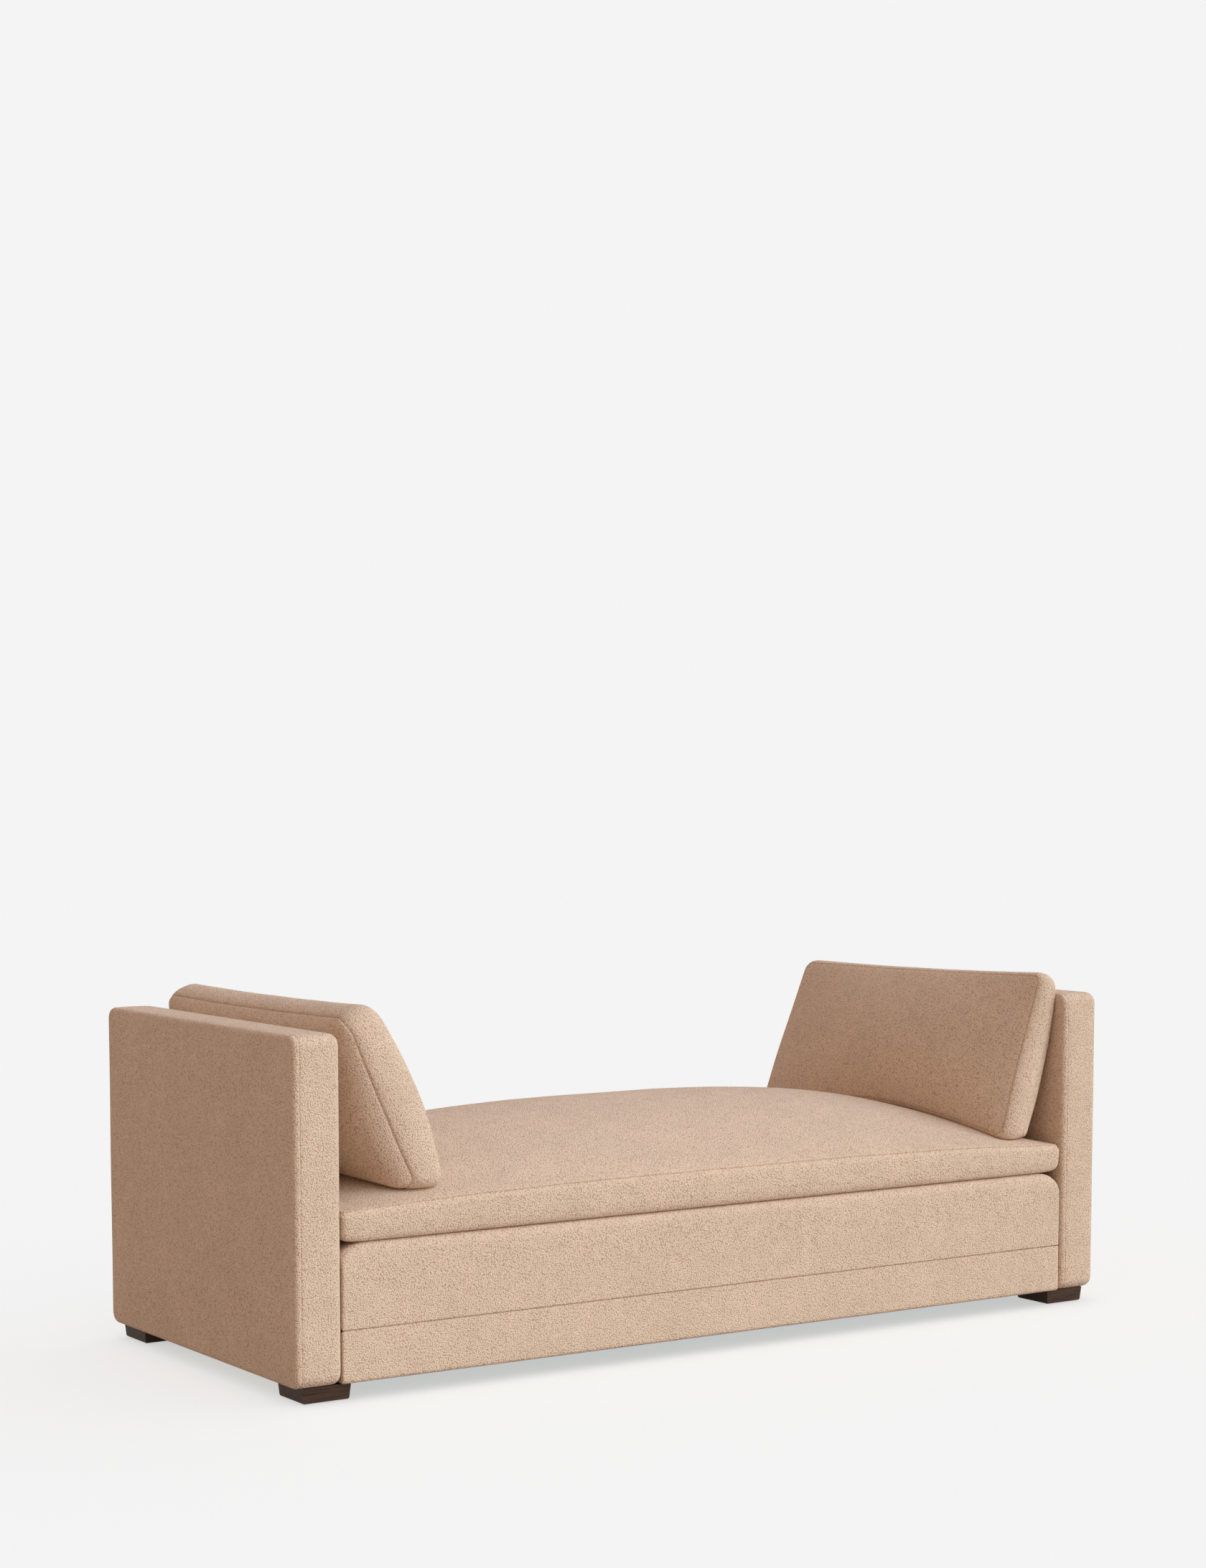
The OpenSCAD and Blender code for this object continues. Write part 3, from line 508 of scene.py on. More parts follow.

# %% [markdown]
# A seam shows as a thin line where two edges of cloth are turned in. Stitches could be drawn one by
# one, but on this thick cloth they sink out of sight, so a seam is a narrow groove in the form, and
# its points are marked for the cloth's painted shade line, a darker line for the shadow in the
# groove. Edges are arcs of rings from one face to the next.

# %% Seams and rounded edges
SEAM_DEPTH = 1.7 * MM
SEAM_HALF = 1.7 * MM


def arc_rings(radius, place, steps, flip=False):
    """Rings round an edge: (inset, place) pairs from the flat of a face at `place` to the boxing. With
    `flip` the face is the last one, and the rings come from the boxing to it."""
    turn = [math.radians(90) * k / steps for k in range(steps + 1)]
    rings = [(radius * (1 - math.sin(t)), radius * (1 - math.cos(t))) for t in turn]
    return [(i, place - p) for i, p in rings[::-1]] if flip else [(i, place + p) for i, p in rings]


edge = [(round(i / MM, 1), round(p / MM, 1)) for i, p in arc_rings(10 * MM, 0.0, 2)]
print("a 10 mm edge in 2 steps", edge)

# %% [markdown]
# The arms are tight upholstery over foam and plywood, so they keep their form: no simulation, only a
# slight swell and a few soft waves. The panel on the left side of each arm is folded round its edge
# and sewn to the boxing 10 mm on, which is the thin line down the front. The other edge is rounder,
# and its seam lies round the corner, on the panel.

# %% Arm covers: the rings
ARM_CORNER = 24 * MM
ARM_SEAM = 10.5 * MM
ARM_EDGE = 10 * MM
ARM_ROUND = 18 * MM
ARM_GROOVE = 1.5 * MM
ARM_SEAM_RINGS = (7, 19)


def arm_rings(thick):
    near = arc_rings(ARM_EDGE, 0.0, 4)
    seam = [(0.0, ARM_SEAM - SEAM_HALF + ARM_EDGE / 4), (ARM_GROOVE, ARM_SEAM + ARM_EDGE / 4),
            (0.0, ARM_SEAM + SEAM_HALF + ARM_EDGE / 4)]
    boxing = [(0.0, 0.28 * thick), (0.0, 0.45 * thick), (0.0, 0.62 * thick)]
    far = arc_rings(ARM_ROUND, thick, 5, flip=True)
    seam_in = ARM_ROUND + 2 * MM
    hidden = [(seam_in, thick), (seam_in + SEAM_HALF, thick - ARM_GROOVE),
              (seam_in + 2 * SEAM_HALF, thick), (ARM_ROUND + 12 * MM, thick)]
    return [(ARM_EDGE + 8 * MM, 0.0)] + near + seam + boxing + far + hidden


print("an arm has", len(arm_rings(arm_outer_x - arm_inner_x)), "rings")

# %% [markdown]
# The two arms are one case between two planes of x, made twice. They aren't mirror images: on both
# arms the folded panel is the left one, as the photograph shows. Where an arm faces the seat the
# swell is held back, so that the cushion still goes in.

# %% Arm covers: the cases
ARM_SWELL = 1.6 * MM
ARM_SWELL_INSIDE = 0.3 * MM
ARM_WAVE = 0.5 * MM
ARM_BOXING_SWELL = 0.9 * MM


def arm_case(name, left_x, right_x):
    """A closed case between two planes of x."""
    thick = right_x - left_x
    half_u = arm_half_depth
    half_v = (arm_top - arm_foot) / 2
    form = BoxedForm(half_u, half_v, ARM_CORNER, 26 * MM, (0.0, 4 * MM, 12 * MM), 5, arm_rings(thick))
    u, v, place = form.points().T
    hollow = np.clip(1 - (u / half_u) ** 4, 0, 1) * np.clip(1 - (v / half_v) ** 4, 0, 1)
    side = np.where(place < thick / 2, -1.0, 1.0)
    on_face = np.abs(place - thick / 2) > 0.49 * thick
    swell = np.where(on_face, ARM_SWELL * hollow + ARM_WAVE * waves(u, v, 0.31), 0.0)
    inner = np.abs(left_x + np.where(side < 0, 0.0, thick)) < arm_inner_x + 1 * MM
    swell = np.where(inner, np.minimum(swell, ARM_SWELL_INSIDE), swell)
    x = left_x + place + side * swell
    strip = np.sin(math.pi * np.clip(place / thick, 0, 1)) ** 2
    length = np.hypot(u, v)
    shift = strip * (ARM_BOXING_SWELL + ARM_WAVE * waves(u + v, place, 0.23)) / np.maximum(length, 1e-6)
    y = u * (1 + shift)
    z = arm_foot + half_v + v * (1 + np.where(v > 0, shift, 0.0))
    points = np.column_stack([x, y, z])
    return make_mesh(name, points, form.faces(), boucle, form.mark(ARM_SEAM_RINGS))


arm_sides = (("left", -arm_outer_x, -arm_inner_x), ("right", arm_inner_x, arm_outer_x))
for side, left_x, right_x in arm_sides:
    cover = arm_case(f"{side}_arm_boucle", left_x, right_x)
    subdivide(cover)
    settle(cover, f"{side}_arm_cover", "frame")

# %% [markdown]
# The base is clothed in strips: a panel over the padded rail, whose edge rolls over onto the deck, a
# lower band sewn on below it, and the deck itself between the two panels. One big sheet could be
# draped over the rails, but the real one is sewn from such strips. Each strip is one grid. Its profile
# runs up the rail, and its ends turn in beside the arms, where the photograph shows a dark crease.
# Near the arms the padding also falls away, in a curve 62 mm wide and 31 mm deep.

# %% A strip of base cloth
BASE_EDGE = 22 * MM
END_ROUND = 4.5 * MM
END_TUCK = 12 * MM
FALL_LENGTH = 62 * MM
FALL_DEPTH = 31 * MM
FALL_START = 180 * MM
BASE_WAVE = 0.5 * MM
BASE_COLUMNS = (0.0, 0.6 * MM, 2 * MM, 4.5 * MM, 9 * MM, 16 * MM, 26 * MM, 40 * MM, 56 * MM, 74 * MM)


def base_strip(profile, sewn, swell):
    """A strip along the whole base. `profile` holds (depth, height) points, those numbered in `sewn`
    lie at a seam, and every strip is drawn for the rear, so a front strip is its mirror image."""
    profile = np.array(profile)
    tangent = np.gradient(profile, axis=0)
    normal = np.column_stack([tangent[:, 1], -tangent[:, 0]])
    normal /= np.linalg.norm(normal, axis=1, keepdims=True)
    along = spread(base_end, 24 * MM, BASE_COLUMNS)
    end = np.abs(np.abs(along) - base_end)
    inside = np.clip(END_ROUND - end, 0, None)
    turned = END_ROUND - np.sqrt(END_ROUND ** 2 - inside ** 2)
    turned = np.where(end < 0.1 * MM, END_TUCK, turned)
    fall = FALL_DEPTH * roll_off(1 - end / FALL_LENGTH)
    share = smooth((profile[:, 1] - FALL_START) / (deck_top - FALL_START - BASE_EDGE))
    travel = np.concatenate([[0], np.cumsum(np.linalg.norm(np.diff(profile, axis=0), axis=1))])
    middle = np.sin(math.pi * travel / travel[-1]) ** 2
    x = np.repeat(along[:, None], len(profile), axis=1)
    ripple = BASE_WAVE * waves(x, travel[None, :], 0.27) * middle[None, :]
    out = -turned[:, None] + swell * middle[None, :] + ripple
    y = profile[:, 0][None, :] + normal[:, 0][None, :] * out
    z = profile[:, 1][None, :] + normal[:, 1][None, :] * out - fall[:, None] * share[None, :]
    points = np.stack([x, y, z], axis=-1)
    columns, rows = x.shape
    index = np.arange(columns * rows).reshape(columns, rows)
    faces = np.stack([index[:-1, :-1], index[1:, :-1], index[1:, 1:], index[:-1, 1:]], axis=-1)
    mark = np.zeros(x.shape)
    mark[:, sewn] = 1.0
    return points.reshape(-1, 3), faces.reshape(-1, 4).tolist(), mark.ravel()


print("strips have", len(spread(base_end, 24 * MM, BASE_COLUMNS)), "columns")

# %% [markdown]
# The profiles are drawn for the rear side, from below upwards. At a seam the edge of each strip rolls
# in until it meets its neighbour. The band's lower edge is turned under the rail as a hem.

# %% Profiles of the strips
BASE_FOOT = 8 * MM
HEM = 40 * MM


def quarter(x, y, radius, start, steps):
    """Points of a quarter circle round (x, y), from the angle `start` in degrees, anticlockwise."""
    turn = [math.radians(start + 90 * k / steps) for k in range(steps + 1)]
    return [(x + radius * math.cos(t), y + radius * math.sin(t)) for t in turn]


def seam_rim(y, z, turn):
    """The edge of a panel at a seam, rolled in until it meets its neighbour."""
    return [(y, z), (y - 0.5 * SEAM_DEPTH, z + turn * 0.6 * SEAM_HALF),
            (y - SEAM_DEPTH, z + turn * (SEAM_HALF - 0.05 * MM))]


panel_profile = (
    seam_rim(base_front, band_seam + SEAM_HALF, -1)[::-1]
    + [(base_front, band_seam + h * MM) for h in (6, 14, 30, 55, 80, 105, 125)]
    + quarter(base_front - BASE_EDGE, deck_top - BASE_EDGE, BASE_EDGE, 0, 6)
    + [(deck_seam + 22 * MM, deck_top), (deck_seam + 8 * MM, deck_top)]
    + [(deck_seam + SEAM_HALF, deck_top - 0.3 * MM), (deck_seam + 0.3 * MM, deck_top - SEAM_DEPTH)]
)
band_profile = (
    [(base_front - HEM, arm_foot), (base_front - HEM / 2, arm_foot)]
    + quarter(base_front - BASE_FOOT, arm_foot + BASE_FOOT, BASE_FOOT, -90, 4)
    + [(base_front, arm_foot + h * MM) for h in (16, 32, 52, 74, 90)]
    + seam_rim(base_front, band_seam - SEAM_HALF, 1)
)
deck_profile = (
    [(deck_seam - 0.3 * MM, deck_top - SEAM_DEPTH), (deck_seam - SEAM_HALF, deck_top - 0.3 * MM)]
    + [(deck_seam * k / 12, deck_top - 0.5 * MM) for k in range(11, -12, -1)]
    + [(SEAM_HALF - deck_seam, deck_top - 0.3 * MM), (0.3 * MM - deck_seam, deck_top - SEAM_DEPTH)]
)
print("profiles of", len(panel_profile), len(band_profile), "and", len(deck_profile), "points")

# %% [markdown]
# A strip is then made into cloth 2 mm thick. A strip is an open sheet, so its normals can't be turned
# outward by themselves: they are made to look away from the middle of the base, and up on the deck.

# %% Dress the base
CLOTH_THICK = 2 * MM


def thicken(piece, thick):
    cloth = piece.modifiers.new("thick", "SOLIDIFY")
    cloth.thickness = thick
    cloth.offset = -1.0
    cloth.use_even_offset = False


def dress_base(name, node, points, faces, seam):
    strip = make_mesh(name, points, faces, boucle, seam)
    form = bmesh.new()
    form.from_mesh(strip.data)
    middle = sum((v.co for v in form.verts), Vector()) / len(form.verts)
    outward = Vector((0, middle.y, 0.05))
    lean = sum((f.normal * f.calc_area() for f in form.faces), Vector())
    if lean.dot(outward) < 0:
        bmesh.ops.reverse_faces(form, faces=form.faces)
    form.to_mesh(strip.data)
    form.free()
    thicken(strip, CLOTH_THICK)
    subdivide(strip)
    settle(strip, node, "frame")


for place, way in (("rear", 1.0), ("front", -1.0)):
    facing = np.array([1.0, way, 1.0])
    points, faces, seam = base_strip(panel_profile, (0, 1, -1), 1.5 * MM)
    dress_base(f"{place}_panel_boucle", f"{place}_panel_cloth", points * facing, faces, seam)
    points, faces, seam = base_strip(band_profile, (-1, -2), 0.6 * MM)
    dress_base(f"{place}_band_boucle", f"{place}_band_cloth", points * facing, faces, seam)
points, faces, seam = base_strip(deck_profile, (0, -1), -1.5 * MM)
dress_base("deck_boucle", "deck_cloth", points, faces, seam)

# %% [markdown]
# The seat cushion is a boxed one: a crowned top panel, a flat underside and a boxing as wide as the
# seam is high. One swollen block would do for a plump cushion, but this one is drawn by its seam. The
# top seam climbs 17 mm towards the middle, and the crown stands 113 mm above it there, as a foam core
# wrapped in wadding makes it. The lower corners lift off the deck at both ends.

# %% Seat cushion: its seam and crown
SEAT_SEAM = 366 * MM
SEAT_SEAM_RISE = 17 * MM
SEAT_CROWN = 113 * MM
SEAT_CORNER = 12 * MM
SEAT_SWELL = 5 * MM
SEAT_END_LIFT = 10 * MM
SEAT_END_LENGTH = 45 * MM
SEAT_PLAY = 1.5 * MM
seat_floor = seat_low.z
seat_half_x = arm_inner_x - SEAT_PLAY
seat_half_y = seat_high.y - SEAT_SWELL
CROWN_ALONG = 3
CROWN_ACROSS = 1.9


def seat_shares(x, y):
    """The share of the crown along and across: 1 in the middle and 0 at the edges."""
    along = 1 - np.clip(np.abs(x) / seat_half_x, 0, 1) ** CROWN_ALONG
    across = 1 - np.clip(np.abs(y) / seat_half_y, 0, 1) ** CROWN_ACROSS
    return along, across


def seat_seam(x):
    return SEAT_SEAM + SEAT_SEAM_RISE * seat_shares(x, 0 * x)[0]


def seat_top(x, y, crown=SEAT_CROWN):
    along, across = seat_shares(x, y)
    return seat_seam(x) + crown * along * across


print("seat seam", round(float(seat_seam(0.0)), 3), "and top", round(float(seat_top(0.0, 0.0)), 3), "m high")

# %% [markdown]
# Each ring says where a line of cloth runs between the cushion's floor and its seam: as a share of
# that height, and a rise on top of it. The first three rings lie on the crown. Then come the groove
# of the seam, the boxing with the zip's channel in its rear side, and the rounded lower edge.

# %% Seat cushion: its rings
ON_TOP = 2.0
zip_middle = (zip_low.z + zip_high.z) / 2 - seat_floor
zip_half = zip_high.x + 2 * MM
seat_rings = [
    (14 * MM, ON_TOP, 0.0), (7 * MM, ON_TOP, 0.0), (2.6 * MM, ON_TOP, 0.0),
    (3.6 * MM, 1.0, -1.6 * MM), (0.0, 1.0, -3.6 * MM), (-1.5 * MM, 1.0, -8 * MM),
    (-4.0 * MM, 0.86, 0.0), (-4.8 * MM, 0.0, zip_middle + 9 * MM), (-4.9 * MM, 0.0, zip_middle + 7 * MM),
    (-5.0 * MM, 0.0, zip_middle + 5.5 * MM), (-5.0 * MM, 0.0, zip_middle),
    (-5.0 * MM, 0.0, zip_middle - 5.5 * MM), (-4.9 * MM, 0.0, zip_middle - 7 * MM),
    (-4.6 * MM, 0.0, zip_middle - 9 * MM), (-3.6 * MM, 0.0, 19 * MM), (-2.0 * MM, 0.0, 11.5 * MM),
    (-0.6 * MM, 0.0, 8 * MM), (1.6 * MM, 0.0, 5 * MM), (4.6 * MM, 0.0, 2.2 * MM),
    (9 * MM, 0.0, 0.6 * MM), (16 * MM, 0.0, 0.0),
]
ZIP_FLOOR_RINGS = (9, 10, 11)
ZIP_LIP_RINGS = (8, 12)
ZIP_DEPTH = 4.6 * MM
SEAT_SEWN_RINGS = (2, 3, 4, 17, 18, 19)
print("seat rings", len(seat_rings), "and a zip channel", round(2 * zip_half, 3), "m long")

# %% [markdown]
# One function carries the flat layout to the cushion's form, and it serves the wadding below the
# cover too. The zip's channel is pressed in last, after the stuffing, because air would blow it out.

# %% Seat cushion: its form
SEAM_WAVE = 0.9 * MM
TOP_WAVE = 1 * MM
ZIP_LIP_SHARE = 0.15


def place_seat(form):
    u, v, share, rise = form.points().T
    x = np.clip(u, -seat_half_x, seat_half_x)
    wobble = SEAM_WAVE * waves(u, v, 0.19)
    lift = SEAT_END_LIFT * roll_off((np.abs(x) - (seat_half_x - SEAT_END_LENGTH)) / SEAT_END_LENGTH)
    floor = seat_floor + lift
    seam = seat_seam(x) + wobble
    top = seat_top(x, v) + wobble + TOP_WAVE * waves(u, v, 0.42, 1.0)
    z = np.where(share == ON_TOP, top, floor + share * (seam - floor) + rise)
    return np.column_stack([x, v, z])


def cut_zip_channel(form, points):
    """Press the rear boxing in along the zip, between its two lips."""
    loops = form.loops()
    for rings, depth in ((ZIP_FLOOR_RINGS, ZIP_DEPTH), (ZIP_LIP_RINGS, ZIP_LIP_SHARE * ZIP_DEPTH)):
        for k in rings:
            ring = loops[k]
            place = points[ring]
            behind = place[:, 1] > seat_half_y - 2 * MM
            along = smooth((zip_half - np.abs(place[:, 0])) / (3 * MM))
            points[ring, 1] -= np.where(behind, depth * along, 0.0)
    return points


seat_form = BoxedForm(seat_half_x, seat_half_y, SEAT_CORNER, 19 * MM, (0.0, 4 * MM, 10 * MM, 18 * MM), 5,
                      seat_rings)
print("seat cushion", seat_form.columns, "by", seat_form.rows, "points a panel,", seat_form.loop, "round it")

# %% [markdown]
# The seams, the zip's channel and the whole underside are held while the air goes in. Afterwards the
# cloth is kept off the arms, and it stands hardly further out than the frame's own cushion.

# %% Seat cushion: stuff it
SIDE_ROOM = 0.8 * MM
FRONT_ROOM = 1.5 * MM
seat_points = place_seat(seat_form)
seat_held = np.zeros(len(seat_points), bool)
for k in SEAT_SEWN_RINGS + ZIP_FLOOR_RINGS:
    seat_held[seat_form.loops()[k]] = True
seat_held[-seat_form.panel:] = True
seat_shift = stuff(seat_form, seat_points, seat_held)
seat_cloth = seat_points + seat_shift
end_limit = seat_half_x + SIDE_ROOM
front_limit = seat_high.y + FRONT_ROOM
seat_cloth[:, 0] = np.clip(seat_cloth[:, 0], -end_limit, end_limit)
seat_cloth[:, 1] = np.clip(seat_cloth[:, 1], -front_limit, front_limit)
seat_cloth = cut_zip_channel(seat_form, seat_cloth)
seat_cover = make_mesh("seat_cushion_boucle", seat_cloth, seat_form.faces(), boucle, seat_form.mark((3,)))
subdivide(seat_cover)
settle(seat_cover, "seat_cushion_cover", "seat")
print("seat crown", round(float(seat_cloth[:, 2].max()), 4), "m high")

# %% [markdown]
# Each bolster is a boxed cushion that stands on the seat and leans on its arm. The two were made
# alike, but they stand differently in the photograph: the right one has a twist. So each keeps its
# own lean, thickness, crown and ridge, all as distances in the frame.

# %% Bolsters: what differs between the two
BOLSTER_HALF_V = 200 * MM
BOXING_SWELL = 4.2 * MM


class Bolster:
    """`lean` holds how far foot and head stand from the arm at the near end, then at the far end, and
    `ridge` the slope, the bend and the height of the head."""

    def __init__(self, side, mirror, lean, half_t, crown, ridge, edge_bow, corner):
        self.side = side
        self.mirror = mirror
        self.lean = lean
        self.half_t = half_t
        self.crown = crown
        self.ridge = ridge
        self.edge_bow = edge_bow
        self.corner = corner
        low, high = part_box(f"{side}_bolster_cover")
        self.half_u = (high.y - low.y) / 2 - BOXING_SWELL
        self.middle_y = (high.y + low.y) / 2


bolsters = (
    Bolster("left", mirror=-1.0, lean=(254 * MM, 94 * MM, 246 * MM, 98 * MM), half_t=36 * MM, crown=26 * MM,
            ridge=(1.5 * MM, 4.5 * MM, 753 * MM), edge_bow=22 * MM, corner=40 * MM),
    Bolster("right", mirror=1.0, lean=(158 * MM, 42 * MM, 235 * MM, 86 * MM), half_t=33 * MM, crown=38 * MM,
            ridge=(5 * MM, 5 * MM, 749 * MM), edge_bow=0.0, corner=31 * MM),
)
print("bolsters", [b.side for b in bolsters], "half width", round(bolsters[0].half_u, 4))

# %% [markdown]
# The boxing is drawn in between the corners of the case and swells a little half way through. On the
# front the seam is a shallow groove beside the flat of the panel. At the rear the cloth of the back
# swells out over it, so there the rim folds back above the seam.

# %% Bolsters: their rings
BOLSTER_SEAM_RINGS = (2, 13)
BOLSTER_SEWN_RINGS = (1, 2, 3, 12, 13, 14)
BOLSTER_SEAM_IN = 5.8 * MM


def bolster_rings(t):
    face = [(24 * MM, t), (13.5 * MM, t - 0.4 * MM), (11 * MM, t - 2.4 * MM), (8.5 * MM, t - 1.6 * MM),
            (3.8 * MM, t - 4.8 * MM), (0.8 * MM, t - 9 * MM), (-1.6 * MM, t - 14 * MM),
            (-3.4 * MM, t - 22 * MM)]
    rear = [(24 * MM, t), (13 * MM, t - 0.7 * MM), (7 * MM, t - 2.4 * MM), (3.4 * MM, t - 5.2 * MM),
            (BOLSTER_SEAM_IN, t - 7 * MM), (1.2 * MM, t - 8.6 * MM), (-1.2 * MM, t - 14 * MM),
            (-3.2 * MM, t - 22 * MM)]
    middle = [(-BOXING_SWELL, 7 * MM), (-BOXING_SWELL, -7 * MM)]
    back = [(inset, -place) for inset, place in rear[::-1]]
    return face + middle + back


def bolster_form(bolster):
    return BoxedForm(bolster.half_u, BOLSTER_HALF_V, bolster.corner, 15 * MM, (0.0, 5 * MM, 13 * MM), 5,
                     bolster_rings(bolster.half_t))


print("bolster rings", len(bolster_rings(bolsters[0].half_t)))

# %% [markdown]
# A bolster could be built upright and then turned, but its foot would cut into the crowned seat. So
# it is laid out flat and carried to its place by one rule: up its height it follows the lean, its
# foot follows the crown of the seat, its front swells, and its back fills the wedge to the arm.

# %% Bolsters: their form
BOLSTER_LEAN = math.radians(21)
BOLSTER_AXIS = 36 * MM
BOLSTER_BULGE = 90 * MM
BOLSTER_FOOT_BLEND = 0.4
BOLSTER_GAP = 2.2 * MM
BACK_START = 0.45
SWELL_ACROSS = 2.6
SWELL_UP = 2.2
BOLSTER_WAVE = 0.7 * MM
CROWN_BELOW = SEAT_CROWN + 4 * MM


def place_bolster(bolster, form, fullness=1.0):
    """`fullness` is the share of the back's bulge that this form takes: a filling has less of it."""
    u, v, through = form.points().T
    near = 0.5 - u / (2 * bolster.half_u)
    share_u = 1 - np.clip(np.abs(u) / bolster.half_u, 0, 1) ** SWELL_ACROSS
    share_v = 1 - np.clip(np.abs(v) / BOLSTER_HALF_V, 0, 1) ** SWELL_UP
    height = np.clip((v / BOLSTER_HALF_V + 1) / 2, 0, None)
    foot_near, head_near, foot_far, head_far = bolster.lean
    foot = arm_inner_x - foot_far - (foot_near - foot_far) * near
    head = arm_inner_x - head_far - (head_near - head_far) * near
    side = through / bolster.half_t
    crown = bolster.crown * share_u * share_v * np.clip(side, 0, 1) ** 4
    full = np.clip((-side - BACK_START) / (1 - BACK_START), 0, 1)
    in_seam_u = np.clip(np.abs(u) / (bolster.half_u - BOLSTER_SEAM_IN), 0, 1)
    in_seam_v = np.clip(height * 2 * BOLSTER_HALF_V / (2 * BOLSTER_HALF_V - BOLSTER_SEAM_IN), 0, 1)
    inside = np.sqrt((1 - in_seam_u ** SWELL_ACROSS) * (1 - in_seam_v ** SWELL_UP))
    bulge = fullness * BOLSTER_BULGE * full * inside
    bow = bolster.edge_bow * near ** 3 * share_v * np.clip(side, 0, 1)
    thick = through + crown - bulge + bow + BOLSTER_WAVE * waves(u, v, 0.21, bolster.half_t * 100)
    middle_x = foot + (head - foot) * height + BOLSTER_AXIS / math.cos(BOLSTER_LEAN)
    x = middle_x - thick * math.cos(BOLSTER_LEAN)
    y = u + bolster.middle_y
    floor = seat_top(x, y, CROWN_BELOW) + BOLSTER_GAP
    slope, bend, top = bolster.ridge
    s = -u / bolster.half_u
    head_z = top + slope * s + bend * s * s - BOLSTER_AXIS * math.sin(BOLSTER_LEAN)
    tilt = thick * math.sin(BOLSTER_LEAN) * smooth(height / BOLSTER_FOOT_BLEND)
    z = floor + (head_z - floor) * height + tilt
    return np.column_stack([bolster.mirror * x, y, z])


print("bolsters lean by", round(math.degrees(BOLSTER_LEAN)), "degrees")

# %% [markdown]
# Air goes into the bolsters as into the seat, with their seams and their feet held. The cloth then
# stops short of the arm, and the foot is lifted wherever it came too near the seat.

# %% Bolsters: stuff them
ARM_ROOM = 0.6 * MM
FOOT_ROOM = 0.8 * MM
FOOT_SHARE = 0.93
for bolster in bolsters:
    form = bolster_form(bolster)
    points = place_bolster(bolster, form)
    loops = form.loops()
    held = np.zeros(len(points), bool)
    for k in BOLSTER_SEWN_RINGS:
        held[loops[k]] = True
    foot = form.points()[:, 1] < -FOOT_SHARE * BOLSTER_HALF_V
    held |= foot
    cloth = points + stuff(form, points, held)
    limit = arm_inner_x - ARM_ROOM
    cloth[:, 0] = np.clip(cloth[:, 0], -limit, limit)
    rest = seat_top(cloth[:, 0], cloth[:, 1], CROWN_BELOW) + FOOT_ROOM
    cloth[:, 2] = np.where(foot, np.maximum(cloth[:, 2], rest), cloth[:, 2])
    cover = make_mesh(f"{bolster.side}_bolster_boucle", cloth, form.faces(), boucle,
                      form.mark(BOLSTER_SEAM_RINGS))
    subdivide(cover)
    settle(cover, f"{bolster.side}_bolster_cover", f"{bolster.side}_bolster")

# %% [markdown]
# Under the cloth lie foam, wadding and felt. They never show while the chaise is whole, but each is a
# piece of its own and gets its own finish: foam is full of small bubbles, and wadding and felt are
# tangled fibres, long and loose in the one, short and pressed in the other.

# %% Foam, wadding and felt
def foam_finish(name, colour, pore, depth):
    finish = Finish(name, roughness=0.95, specular=0.2)
    bubble = finish.cells(1 / pore)
    speck = finish.noise(0.4 / pore, 3.0)
    wall = finish.times(bubble, speck)
    finish.colour(finish.ramp(wall, ((0.05, shaded(colour, 0.80)), (0.35, colour), (1.0, colour))))
    finish.bump(bubble, depth, 0.6)
    return finish.material


def fibre_finish(name, colour, length, depth, tangle=1.5, sheen=0.2):
    finish = Finish(name, roughness=0.9, specular=0.2, sheen=sheen)
    lay = finish.noise(1 / length, 6.0, 0.65, distort=tangle)
    streak = finish.noise(2.2 / length, 3.0, 0.5, finish.stretched((1.0, 0.35, 1.0)), tangle)
    both = finish.times(lay, streak)
    tips = ((0.10, shaded(colour, 0.72)), (0.40, colour), (1.0, shaded(colour, 1.06)))
    finish.colour(finish.ramp(both, tips))
    finish.bump(both, depth, 0.7)
    return finish.material


foam = foam_finish("cream_foam", srgb(240, 229, 196), 1.6 * MM, 0.5 * MM)
wadding = fibre_finish("white_wadding", srgb(242, 240, 234), 9 * MM, 1.2 * MM)
felt = fibre_finish("grey_felt", srgb(128, 126, 128), 5 * MM, 0.5 * MM, 2.5, 0.1)
print("fillings have", foam.name, wadding.name, "and", felt.name)

# %% [markdown]
# Most of these pieces are slabs. A plain block would be too sharp for foam, so a slab is one more
# boxed form with small rounded edges, laid along any axis and bent where the base falls away.

# %% A soft slab
def slab_rings(thick, edge):
    near = arc_rings(edge, 0.0, 3)
    far = arc_rings(edge, thick, 3, flip=True)
    return [(edge + 9 * MM, 0.0)] + near + [(0.0, thick / 2)] + far + [(edge + 9 * MM, thick)]


def soft_slab(name, low, high, thin, edge, corner, material, bend=None, step=60 * MM):
    """A soft block from `low` to `high`, thin along the axis number `thin`."""
    low, high = np.array(low), np.array(high)
    wide, tall = [k for k in range(3) if k != thin]
    half = (high - low) / 2
    middle = (high + low) / 2
    form = BoxedForm(half[wide], half[tall], corner, step, (0.0, 6 * MM), 3, slab_rings(2 * half[thin], edge))
    u, v, place = form.points().T
    points = np.empty((len(u), 3))
    points[:, wide] = middle[wide] + u
    points[:, tall] = middle[tall] + v
    points[:, thin] = low[thin] + place
    if bend is not None:
        points = bend(points)
    slab = make_mesh(name, points, form.faces(), material)
    subdivide(slab)
    return slab


def fall_away(points, keep):
    """Lower the top of a slab near the arms, as the clothed base falls away there."""
    end = base_end - np.abs(points[:, 0])
    drop = FALL_DEPTH * roll_off(1 - end / FALL_LENGTH)
    bottom = points[:, 2].min()
    points[:, 2] = np.maximum(points[:, 2] - drop * (points[:, 2] > keep), bottom)
    return points


print("slabs can be cut")

